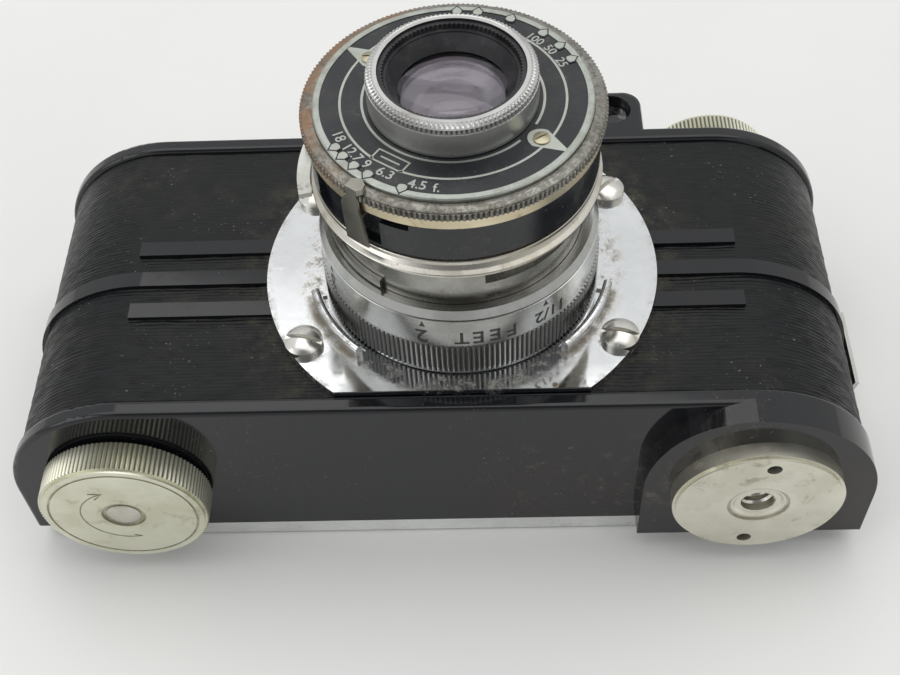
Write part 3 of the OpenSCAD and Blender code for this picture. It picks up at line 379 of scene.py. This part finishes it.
tab_metal = metal("tab_nickel", (0.66, 0.66, 0.62), (0.52, 0.52, 0.48), 0.26, (0.26, 0.23, 0.17), 0.9,
                  pits=1.0)
band_metal = metal("band_brass", (0.78, 0.70, 0.52), (0.62, 0.54, 0.37), 0.28, TAN, 0.6, "Z", lines=0.6)
dial_screw = metal("dial_screw", (0.46, 0.42, 0.30), (0.34, 0.31, 0.22), 0.3, TAN, 0.8, lines=0.4, pits=0.3)
pitted = metal("pitted_nickel", (0.32, 0.315, 0.285), (0.22, 0.21, 0.185), 0.30, (0.13, 0.095, 0.06), 1.0,
               "Z", lines=0.3, pits=1.0, knurl=(20.65, 20.9, 68.65, 69.78), rust_side=160, corrosion=0.6)
lever_metal = metal("lever_nickel", (0.34, 0.335, 0.30), (0.245, 0.235, 0.20), 0.26, (0.16, 0.10, 0.06), 0.9,
                    pits=0.7)
inner_nickel = metal("inner_nickel", (0.66, 0.65, 0.62), (0.50, 0.49, 0.45), 0.24, TAN, 0.4)
knob_rewind = metal("rewind_nickel", (0.76, 0.755, 0.63), (0.62, 0.61, 0.485), 0.28, TAN, 0.6, "Y", REWIND,
                    0.7, 0.35, grooves=((2.6, 3.3), (11.1, 11.35)), knurl=(12.55, 12.9, -32.0, -27.0))
knob_wind = metal("winder_nickel", (0.76, 0.755, 0.64), (0.62, 0.61, 0.50), 0.28, TAN, 0.6, "Y", WINDER,
                  0.7, 0.3, knurl=(10.95, 11.3, 33.0, 40.4))
disc_metal = metal("disc_nickel", (0.78, 0.765, 0.67), (0.64, 0.62, 0.52), 0.25, TAN, 0.7, "Y", WINDER,
                   0.9, 0.35, grooves=((4.2, 4.6),), holes=SPANNER_HOLES)
rivet_metal = metal("rivet_nickel", (0.70, 0.69, 0.62), (0.50, 0.48, 0.42), 0.15, TAN, 0.8, "Y", REWIND, 0.6)
counter_metal = metal("counter_nickel", (0.68, 0.67, 0.63), (0.50, 0.48, 0.44), 0.24, TAN, 0.5, "Y", COUNTER)
back_alloy = metal("back_alloy", (0.90, 0.91, 0.90), (0.74, 0.75, 0.74), 0.24, (0.25, 0.23, 0.2), 0.5,
                   lines=1.4, pits=0.2)
silver_mark = metal("dial_silver", (0.47, 0.50, 0.46), (0.38, 0.39, 0.35), 0.34, TAN, 0.4,
                    lines=0.2, pits=0.3)
dial_face = enamel_look("dial_enamel", True)
case_black = enamel_look("case_enamel", False)
inner_black = flat_black("matt_black", (0.012, 0.012, 0.014), 0.5)
blade_black = flat_black("blade_black", (0.02, 0.02, 0.023), 0.32)
spool_black = flat_black("spool_moulding", (0.014, 0.014, 0.016), 0.4)
lens_glass = glass_look("coated_glass", (0.90, 0.90, 0.92), (0.92, 0.80, 0.93))
finder_glass = glass_look("finder_glass", (0.97, 0.985, 0.98), (1.0, 1.0, 1.0))
pale_paint = paint_look("pale_paint", (0.44, 0.46, 0.43), (0.33, 0.34, 0.31), 0.5)
black_fill = paint_look("black_fill", (0.010, 0.010, 0.011), (0.09, 0.088, 0.082), 0.42)
grey_fill = paint_look("grey_fill", (0.15, 0.14, 0.10), (0.36, 0.345, 0.265), 0.45)

FINISH = {
    bakelite: ["body_shell"],
    chrome: ["lens_plate"],
    screw_steel: ["plate_screws", "catch_bush", "wind_screw", "counter_nut", "film_catch"],
    brass: ["focus_mount"],
    dial_screw: ["face_screws"],
    band_metal: ["case_band"],
    brass_plain: ["rewind_bush", "sprocket_bearings", "pressure_springs", "cassette_spring", "ratchet_wheel"],
    inner_black: ["film_gate", "finder_eyepiece", "retaining_ring", "rear_cell"],
    blade_black: ["mechanism_plate", "pressure_plate", "aperture_cam", "shutter_blade_1", "shutter_blade_2",
                  "iris_blade_1", "iris_blade_2", "iris_blade_3", "iris_blade_4", "iris_blade_5"],
    spool_black: ["take_up_spool"],
    disc_metal: ["tripod_bush"],
    knob_wind: ["wind_bush", "wind_knob"],
    knob_rewind: ["rewind_knob"],
    rivet_metal: ["rewind_rivet"],
    counter_metal: ["counter_dial"],
    inner_nickel: ["back_latch", "rewind_fork", "ratchet_pawl", "sprocket"],
    back_alloy: ["back_cover"],
    nickel_ring: ["focus_ring"],
    cell_metal: ["front_cell"],
    nickel_tube: ["barrel_tube", "helicoid_sleeve"],
    flange_metal: ["shutter_flange"],
    case_black: ["shutter_case"],
    dial_face: ["face_plate"],
    pitted: ["speed_ring"],
    lever_metal: ["aperture_lever"],
    tab_metal: ["release_lever"],
    lens_glass: ["front_lens", "middle_lens", "rear_lens"],
    finder_glass: ["finder_front_lens", "finder_rear_lens"],
}
for finish, names in FINISH.items():
    for name in names:
        slots = nodes[name].data.materials
        if len(slots) == 0:
            slots.append(finish)
        for i in range(len(slots)):
            slots[i] = finish


# ---- mesh helpers ----

def piece(name, points, faces, finish, body, slot, smooth=False):
    """A new mesh piece from points in millimetres, riding on a body."""
    mesh = bpy.data.meshes.new(name)
    mesh.from_pydata([tuple(MM * c for c in p) for p in points], [], faces)
    mesh.validate()
    mesh.update()
    if smooth:
        mesh.shade_smooth()
    mesh.materials.append(finish)
    obj = bpy.data.objects.new(name, mesh)
    bpy.context.scene.collection.objects.link(obj)
    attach(obj, body)


def add(store, points, faces):
    """Adds points and faces to a (points, faces) pair."""
    start = len(store[0])
    store[0].extend(points)
    store[1].extend([tuple(start + i for i in f) for f in faces])


def slab(outline, place, low, high):
    """A thin plate over a closed outline: place(u, v, h) gives the point at height h."""
    n = len(outline)
    points = [place(u, v, h) for h in (low, high) for u, v in outline]
    faces = [tuple(range(n - 1, -1, -1)), tuple(range(n, 2 * n))]
    faces += [(i, (i + 1) % n, n + (i + 1) % n, n + i) for i in range(n)]
    return points, faces


CAPITAL = 0.72      # height of a capital letter in a text curve of size 1


def glyphs(text, height, weight):
    """A text's mesh, middle at the origin, as points (u, v, 0 or 1) and faces."""
    curve = bpy.data.curves.new("lettering", "FONT")
    curve.body = text
    curve.align_x = "CENTER"
    curve.align_y = "CENTER"
    curve.extrude = 0.5
    curve.offset = weight
    curve.resolution_u = 4
    holder = bpy.data.objects.new("lettering", curve)
    bpy.context.scene.collection.objects.link(holder)
    shape = holder.evaluated_get(bpy.context.evaluated_depsgraph_get()).to_mesh()
    scale = height / CAPITAL
    points = [(v.co.x * scale, v.co.y * scale, v.co.z + 0.5) for v in shape.vertices]
    faces = [tuple(p.vertices) for p in shape.polygons]
    bpy.data.objects.remove(holder)
    bpy.data.curves.remove(curve)
    return points, faces


def on_dial(angle, r, z0, z1, inward=False):
    """Places (u, v, h) flat on the dial, with v pointing out from the lens axis, or in."""
    a = math.radians(angle)
    out = Vector((math.cos(a), math.sin(a), 0))
    up = -out if inward else out
    across = up.cross(Vector((0, 0, 1)))
    middle = out * r

    def place(u, v, h):
        p = middle + across * u + up * v
        return (p.x, p.y, z0 + (z1 - z0) * h)
    return place


def on_ring(angle, z, r0, r1):
    """Places (u, v, h) on the focusing ring, tops pointing to the body."""
    def place(u, v, h):
        a = math.radians(angle) - u / SCALE_R
        r = r0 + (r1 - r0) * h
        return (r * math.cos(a), r * math.sin(a), z - v)
    return place


def on_face(centre, angle, r, y0, y1):
    """Places (u, v, h) on a round face across Y, with v pointing out from its centre."""
    a = math.radians(angle)
    side = 1 if y1 > y0 else -1
    out = Vector((math.cos(a), 0, math.sin(a)))
    across = out.cross(Vector((0, side, 0)))

    def place(u, v, h):
        p = out * (r + v) + across * u
        return (centre[0] + p.x, y0 + (y1 - y0) * h, centre[1] + p.z)
    return place


def lettering(name, labels, finish, body, slot, place_of):
    """One piece of several labels. place_of(label) gives its text, height, weight and placing."""
    store = ([], [])
    for label in labels:
        text, height, weight, place = place_of(label)
        points, faces = glyphs(text, height, weight)
        add(store, [place(*p) for p in points], faces)
    piece(name, *store, finish, body, slot)


def arc_band(r_in, r_out, a0, a1, z0, z1, steps):
    """A flat ring segment round the lens axis."""
    angles = [math.radians(a0 + (a1 - a0) * i / steps) for i in range(steps + 1)]
    outline = [(r_out * math.cos(a), r_out * math.sin(a)) for a in angles]
    outline += [(r_in * math.cos(a), r_in * math.sin(a)) for a in reversed(angles)]
    n = len(outline)
    points = [(x, y, z) for z in (z0, z1) for x, y in outline]
    faces = []
    for i in range(steps):
        faces.append((i, n - 1 - i, n - 2 - i, i + 1))
        faces.append((n + i, n + i + 1, 2 * n - 2 - i, 2 * n - 1 - i))
    faces += [(i, (i + 1) % n, n + (i + 1) % n, n + i) for i in range(n)]
    return points, faces


# ---- the ribbed skin round the body ----

def soft_noise(u, v, seed):
    """Smooth random values from 0 to 1 on a unit lattice."""
    lattice = np.random.default_rng(seed).random((512, 512))
    iu, iv = np.floor(u).astype(int), np.floor(v).astype(int)
    fu, fv = u - iu, v - iv
    fu, fv = fu * fu * (3 - 2 * fu), fv * fv * (3 - 2 * fv)
    a, b = lattice[iu % 512, iv % 512], lattice[(iu + 1) % 512, iv % 512]
    c, d = lattice[iu % 512, (iv + 1) % 512], lattice[(iu + 1) % 512, (iv + 1) % 512]
    return (a * (1 - fu) + b * fu) * (1 - fv) + (c * (1 - fu) + d * fu) * fv


def skin_path(step):
    """Points and outward normals round the body's front in X and Z, from one back edge to the other."""
    left, right = BODY_X - CORNER_X, BODY_X + CORNER_X
    wall = int((CORNER_Z - WALL_Z0) / step)
    turn = int(math.pi / 2 * SKIN_R / step)

    def corner(x, start, end):
        ways = [(math.cos(a), math.sin(a)) for a in np.linspace(start, end, turn, endpoint=False)]
        return [(x + SKIN_R * u, CORNER_Z + SKIN_R * v, u, v) for u, v in ways]

    rows = [(left - SKIN_R, z, -1.0, 0.0) for z in np.linspace(WALL_Z0, CORNER_Z, wall, endpoint=False)]
    rows += corner(left, math.pi, math.pi / 2)
    top = int(2 * CORNER_X / step)
    rows += [(x, SKIN_Z, 0.0, 1.0) for x in np.linspace(left, right, top, endpoint=False)]
    rows += corner(right, math.pi / 2, 0.0)
    rows += [(right + SKIN_R, z, 1.0, 0.0) for z in np.linspace(CORNER_Z, WALL_Z0, wall)]
    return np.array(rows)


def make_skin():
    """Points and faces of irregular ribs along the body, cut away under the lens plate."""
    pitch = 0.62
    per_rib = 5
    sunk = -0.05
    gap = 0.02
    path = skin_path(pitch)
    y = np.linspace(SKIN_Y0 + gap, SKIN_Y1 - gap, int((SKIN_Y1 - SKIN_Y0) / pitch * per_rib))
    run = np.concatenate([[0.0], np.cumsum(np.hypot(np.diff(path[:, 0]), np.diff(path[:, 1])))])
    s, t = np.meshgrid(run, y, indexing="ij")
    sway = 4.6 * soft_noise(s / 9, t / 2.4, 3) + 2.2 * soft_noise(s / 2.9, t / 1.1, 4)
    rib = (0.5 + 0.5 * np.cos(2 * math.pi * t / pitch + sway)) ** 1.3
    calm = 0.45 + 0.55 / (1 + np.exp((t - 6) / 4))
    swell = calm * (0.02 + 0.15 * soft_noise(s / 1.8, t / 0.7, 5))
    grit = 0.06 * soft_noise(s / 0.9, t / 0.3, 6)
    height = 0.03 + rib * swell + grit
    height[[0, -1], :] = sunk
    height[:, [0, -1]] = sunk
    x = path[:, 0:1] + path[:, 2:3] * height
    z = path[:, 1:2] + path[:, 3:4] * height
    points = np.stack([x, t, z], axis=-1)
    n_s, n_t = height.shape
    i, j = np.meshgrid(np.arange(n_s - 1), np.arange(n_t - 1), indexing="ij")
    first = (i * n_t + j).ravel()
    quads = np.stack([first, first + 1, first + n_t + 1, first + n_t], axis=-1)
    middle = points.reshape(-1, 3)[quads].mean(axis=1)
    under_plate = (np.hypot(middle[:, 0], middle[:, 1]) < 29.2) & (abs(middle[:, 1]) < 23.0)
    quads = quads[~(under_plate & (middle[:, 2] > 30))]
    kept, renumbered = np.unique(quads, return_inverse=True)
    corners = points.reshape(-1, 3)[kept].tolist()
    return corners, renumbered.reshape(-1, 4).tolist()


piece("skin", *make_skin(), skin_black, "body", "bakelite", smooth=True)


# ---- the dial ----

SPEEDS = [("100", 45.0, 16.15), ("50", 34.0, 16.2), ("25", 23.2, 16.15)]       # text, angle, radius
STOPS = [("18", -155.1, 16.6), ("12.7", -142.5, 16.55), ("9", -132.3, 16.6), ("6.3", -121.8, 16.5),
         ("4.5", -105.6, 16.8), ("f.", -97.0, 17.0)]
MARKS = [(88.2, 17.95), (78.7, 17.95), (62.8, 17.9), (45.0, 17.85), (33.6, 17.75), (23.3, 17.7),
         (-111.2, 17.95), (-127.8, 17.9), (-135.7, 17.9), (-143.3, 17.9), (-149.6, 17.9)]
SCREWS_AT = (-36, 144)
SUNK_Z = ENAMEL_Z - 0.02
FIGURE_Z = ENAMEL_Z + 0.03
LINE_Z = ENAMEL_Z + 0.035

lettering("speed_figures", SPEEDS, pale_paint, "barrel", "ring_nickel",
          lambda f: (f[0], 1.35, 0.008, on_dial(f[1], f[2], SUNK_Z, FIGURE_Z)))
lettering("aperture_figures", STOPS, pale_paint, "barrel", "ring_nickel",
          lambda f: (f[0], 1.5, 0.008, on_dial(f[1], f[2], SUNK_Z, FIGURE_Z, True)))


def mark_outline(grow):
    """A mark with a rounded inner end and its point outward."""
    w, tip, side, foot = 0.62 + grow, 0.84 + grow * 1.4, 0.14 + grow * 0.3, -0.33 - grow
    bend = np.linspace(0.2, math.pi - 0.2, 7)
    end = [(-w * math.cos(a), foot - 0.35 * math.sin(a)) for a in bend]
    return [(0, tip), (-w, side)] + end + [(w, side)]


fields, marks = ([], []), ([], [])
for angle, r in MARKS:
    add(fields, *slab(mark_outline(0.2), on_dial(angle, r, SUNK_Z, RIM_Z + 0.012), 0, 1))
    add(marks, *slab(mark_outline(0.0), on_dial(angle, r, ENAMEL_Z, RIM_Z + 0.03), 0, 1))
piece("dial_mark_fields", *fields, case_black, "barrel", "black_enamel")
piece("dial_marks", *marks, silver_mark, "barrel", "ring_nickel")

lines = ([], [])
for start, end in ((-31.5, 139.5), (148.5, 227.3), (243.0, 319.5)):
    add(lines, *arc_band(15.12, 15.46, start, end, SUNK_Z, LINE_Z, 60))
for start, end in ((-27.5, 135.5), (152.5, 315.5)):
    add(lines, *arc_band(12.15, 12.5, start, end, SUNK_Z, LINE_Z, 60))
# a drop round each screw, with its point outward
drop = [(-0.22, 3.9), (0.22, 3.9)]
drop += [(1.85 * math.cos(a), 0.35 - 2.3 * math.sin(a)) for a in np.linspace(0.25, math.pi - 0.25, 16)]
for angle in SCREWS_AT:
    add(lines, *slab(drop, on_dial(angle, 14.3, SUNK_Z, FIGURE_Z), 0, 1))
# a frame of four bars round a fifth
panel = on_dial(-124.7, 14.25, SUNK_Z, LINE_Z, True)
half_u, half_v, bar = 2.55, 1.1, 0.24
for u0, u1, v0, v1 in ((-half_u, half_u, half_v - bar, half_v), (-half_u, half_u, -half_v, bar - half_v),
                       (-half_u, bar - half_u, bar - half_v, half_v - bar),
                       (half_u - bar, half_u, bar - half_v, half_v - bar), (-1.5, 1.5, -bar / 2, bar / 2)):
    add(lines, *slab([(u0, v0), (u1, v0), (u1, v1), (u0, v1)], panel, 0, 1))
piece("dial_lines", *lines, silver_mark, "barrel", "ring_nickel")


# ---- the knurled bevel of the lens rim ----

def bevel(teeth, depth):
    """Ridges over the rounded edge of the rim, with both edges sunk in the metal below."""
    # radius, height and share of the groove's depth, from the outside in
    profile = [(11.15, 75.25, 0), (11.5, 75.34, 1), (11.42, 75.58, 1), (11.2, 75.78, 1), (10.9, 75.9, 1),
               (10.7, 75.95, 0.4), (10.5, 75.85, 0)]
    wave = (0.0, 0.6, 1.0, 0.6)
    columns = len(wave) * teeth
    rows = len(profile)
    points, faces = [], []
    for i in range(columns):
        a = 2 * math.pi * i / columns
        for r, z, share in profile:
            cut = depth * wave[i % len(wave)] * share
            points.append(((r - 0.8 * cut) * math.cos(a), (r - 0.8 * cut) * math.sin(a), z - 0.5 * cut))
    for i in range(columns):
        j = (i + 1) % columns
        faces += [(rows * i + m, rows * j + m, rows * j + m + 1, rows * i + m + 1) for m in range(rows - 1)]
    return points, faces


piece("rim_knurl", *bevel(110, 0.2), bevel_metal, "barrel", "ring_nickel")


# ---- the distance scale on the focusing ring ----

# text, angle, level and height
DISTANCES = [("2", -105.0, 44.4, 2.8), ("F", -69.0, 44.4, 2.6), ("E", -75.8, 44.4, 2.6),
             ("E", -82.5, 44.4, 2.6), ("T", -89.2, 44.4, 2.6), ("1", -45.5, 44.4, 2.5),
             ("1/2", -53.4, 44.5, 2.3), ("3", -153.0, 44.4, 2.8), ("4", 170.0, 44.4, 2.8),
             ("6", 137.0, 44.4, 2.8), ("10", 104.0, 44.4, 2.8), ("25", 70.0, 44.4, 2.8)]
TICKS = (-104.6, -53.8, -153.0, 170.0, 137.0, 104.0, 70.0)
SCALE_IN = SCALE_R - 0.04
SCALE_OUT = SCALE_R + 0.03

lettering("distance_figures", DISTANCES, black_fill, "focus", "ring_nickel",
          lambda d: (d[0], d[3], 0.012, on_ring(d[1], d[2], SCALE_IN, SCALE_OUT)))
ticks = ([], [])
for angle in TICKS:
    place = on_ring(angle, 47.0, SCALE_IN, SCALE_OUT)
    add(ticks, *slab([(-0.42, 0.55), (0.42, 0.55), (0, -0.55)], place, 0, 1))
piece("distance_ticks", *ticks, black_fill, "focus", "ring_nickel")


# ---- the rewind knob's arrow and the frame counter's scale ----

ARROW_R = 6.5
ARROW_FROM = 111
ARROW_TO = 283
KNOB_FACE = (-32.47, -32.53)        # levels in Y of a figure's foot and top
COUNTER_FACE = (31.88, 31.93)


def face_arc(store, centre, r, width, a0, a1, face, steps):
    """A line along a circle on a face across Y."""
    def at(rr, i):
        a = math.radians(a0 + (a1 - a0) * i / steps)
        return (centre[0] + rr * math.cos(a), centre[1] + rr * math.sin(a))

    inner, outer = r - width / 2, r + width / 2
    for i in range(steps):
        outline = [at(inner, i), at(outer, i), at(outer, i + 1), at(inner, i + 1)]
        add(store, *slab(outline, lambda u, v, h: (u, face[0] + (face[1] - face[0]) * h, v), 0, 1))


arrow = ([], [])
face_arc(arrow, REWIND, ARROW_R, 0.18, ARROW_FROM, ARROW_TO, KNOB_FACE, 48)
head = on_face(REWIND, ARROW_FROM, ARROW_R, *KNOB_FACE)
for side in (1, -1):
    add(arrow, *slab([(0.55, 0.06), (-1.35, side * 1.0), (-1.5, side * 0.78), (0.2, -0.1)], head, 0, 1))
tail = on_face(REWIND, ARROW_TO, ARROW_R, *KNOB_FACE)
add(arrow, *slab([(0.0, 0.12), (0.0, -0.12), (0.95, -0.75), (1.05, -0.55)], tail, 0, 1))
piece("rewind_arrow", *arrow, grey_fill, "rewind", "nickel_disc")

scale = ([], [])
for i in range(40):
    foot, length = (6.6, 1.15) if i % 5 == 0 else (7.05, 0.7)
    tick = [(-0.09, 0), (0.09, 0), (0.09, length), (-0.09, length)]
    add(scale, *slab(tick, on_face(COUNTER, 90 - 9 * i, foot, *COUNTER_FACE), 0, 1))
piece("counter_ticks", *scale, black_fill, "counter", "nickel")
lettering("counter_figures", range(0, 40, 5), black_fill, "counter", "nickel",
          lambda n: (str(n), 1.5, 0.01, on_face(COUNTER, 90 - 9 * n, 5.2, *COUNTER_FACE)))


# ---- the thread in the tripod hole ----

def thread(centre, r_wall, r_tip, y0, y1, pitch):
    """A ridge that winds along a bore across Y."""
    per_turn = 48
    half_foot = 0.42
    count = int((y1 - y0) / pitch * per_turn)
    points, faces = [], []
    for i in range(count + 1):
        a = 2 * math.pi * i / per_turn
        y = y0 + (y1 - y0) * i / count
        for r, dy in ((r_wall, -half_foot), (r_tip, 0.0), (r_wall, half_foot)):
            points.append((centre[0] + r * math.cos(a), y + dy, centre[1] + r * math.sin(a)))
    for i in range(count):
        for j in range(3):
            k = (j + 1) % 3
            faces.append((3 * i + j, 3 * i + k, 3 * i + 3 + k, 3 * i + 3 + j))
    faces += [(2, 1, 0), (3 * count, 3 * count + 1, 3 * count + 2)]
    return points, faces


piece("tripod_thread", *thread(WINDER, 2.63, 2.32, -31.4, -26.8, 1.27), rivet_metal, "body", "nickel_disc")


# ---- floor, light and camera ----

def stage_plane(name, size, z, finish):
    mesh = bpy.data.meshes.new(name)
    half = size / 2
    corners = [(-half, -half, z), (half, -half, z), (half, half, z), (-half, half, z)]
    mesh.from_pydata(corners, [], [(0, 1, 2, 3)])
    mesh.materials.append(finish)
    obj = bpy.data.objects.new(name, mesh)
    bpy.context.scene.collection.objects.link(obj)


def paper_look():
    """Plain pale paper."""
    k = Look("floor_paper")
    tone = k.mix(k.step(k.noise(9, 4, 0.5), 0.35, 0.7), (0.80, 0.80, 0.785), (0.765, 0.765, 0.75))
    k.set(Base_Color=tone, Roughness=0.55, Normal=k.bump(k.noise(350, 4, 0.6), 0.05 * MM, 0.2))
    return k.material


stage_plane("floor", 6.0, -0.02 * MM, paper_look())


def area_light(name, place, aim, size, power, colour):
    lamp = bpy.data.lights.new(name, "AREA")
    lamp.shape = "RECTANGLE"
    lamp.size, lamp.size_y = size
    lamp.energy = power
    lamp.color = colour
    obj = bpy.data.objects.new(name, lamp)
    bpy.context.scene.collection.objects.link(obj)
    obj.location = place
    obj.rotation_mode = "QUATERNION"
    obj.rotation_quaternion = (Vector(aim) - Vector(place)).to_track_quat("-Z", "Y")


area_light("top_light", (0.1, 0.3, 1.9), (0, 0, 0.02), (2.4, 1.8), 14.0, (1.0, 0.99, 0.97))
area_light("left_light", (-1.4, -0.6, 0.9), (0, 0, 0.03), (1.0, 1.0), 4.0, (0.97, 0.99, 1.0))

world = bpy.data.worlds.new("studio")
bpy.context.scene.world = world
world.use_nodes = True
tree = world.node_tree
tree.nodes.clear()


def sky_node(kind, **links):
    """A node of the sky. Each link's name ends in the number of the input that it goes to."""
    node = tree.nodes.new(kind)
    for socket, source in links.items():
        tree.links.new(source, node.inputs[int(socket[1:])])
    return node


def sky_ramp(source, low, low_colour, high, high_colour):
    node = sky_node("ShaderNodeValToRGB", _0=source)
    ends = node.color_ramp.elements
    ends[0].position, ends[1].position = low, high
    ends[0].color, ends[1].color = low_colour, high_colour
    return node


heading = tree.nodes.new("ShaderNodeTexCoord").outputs["Generated"]
split = sky_node("ShaderNodeSeparateXYZ", _0=heading)
height_ramp = sky_ramp(split.outputs[2], 0.0, (0.60, 0.60, 0.59, 1), 0.6, (0.92, 0.93, 0.93, 1))
# a dark patch of sky on the camera's side, so that round metal shows its edges
toward = sky_node("ShaderNodeVectorMath", _0=heading)
toward.operation = "DOT_PRODUCT"
toward.inputs[1].default_value = (0.03, -0.61, 0.79)
patch = sky_ramp(toward.outputs[1], 0.80, (1, 1, 1, 1), 0.95, (0.22, 0.22, 0.23, 1))
patch.color_ramp.interpolation = "EASE"
graded = sky_node("ShaderNodeMix", _6=height_ramp.outputs[0], _7=patch.outputs[0])
graded.data_type = "RGBA"
graded.blend_type = "MULTIPLY"
graded.inputs[0].default_value = 1.0
# the camera itself sees an even grey beyond the floor
direct = tree.nodes.new("ShaderNodeLightPath").outputs["Is Camera Ray"]
seen = sky_node("ShaderNodeMix", _0=direct, _6=graded.outputs[2])
seen.data_type = "RGBA"
seen.inputs[7].default_value = (0.78, 0.79, 0.78, 1)
sky = sky_node("ShaderNodeBackground", _0=seen.outputs[2])
sky_node("ShaderNodeOutputWorld", _0=sky.outputs[0])
bpy.context.scene.view_settings.view_transform = "Standard"

lens = bpy.data.cameras.new("camera")
lens.sensor_width = 36.0
lens.lens = 52.59
lens.clip_start = 0.005
lens.clip_end = 20.0
camera = bpy.data.objects.new("camera", lens)
bpy.context.scene.collection.objects.link(camera)
right = Vector((0.99924, 0.00222, -0.0384)).normalized()
back = Vector((0.0318, -0.6091, 0.7925)).normalized()
up = back.cross(right).normalized()
right = up.cross(back)
turn = Matrix((right, up, back)).transposed()
camera.matrix_world = Matrix.Translation(Vector((4.518, -133.229, 191.006)) * MM) @ turn.to_4x4()
bpy.context.scene.camera = camera
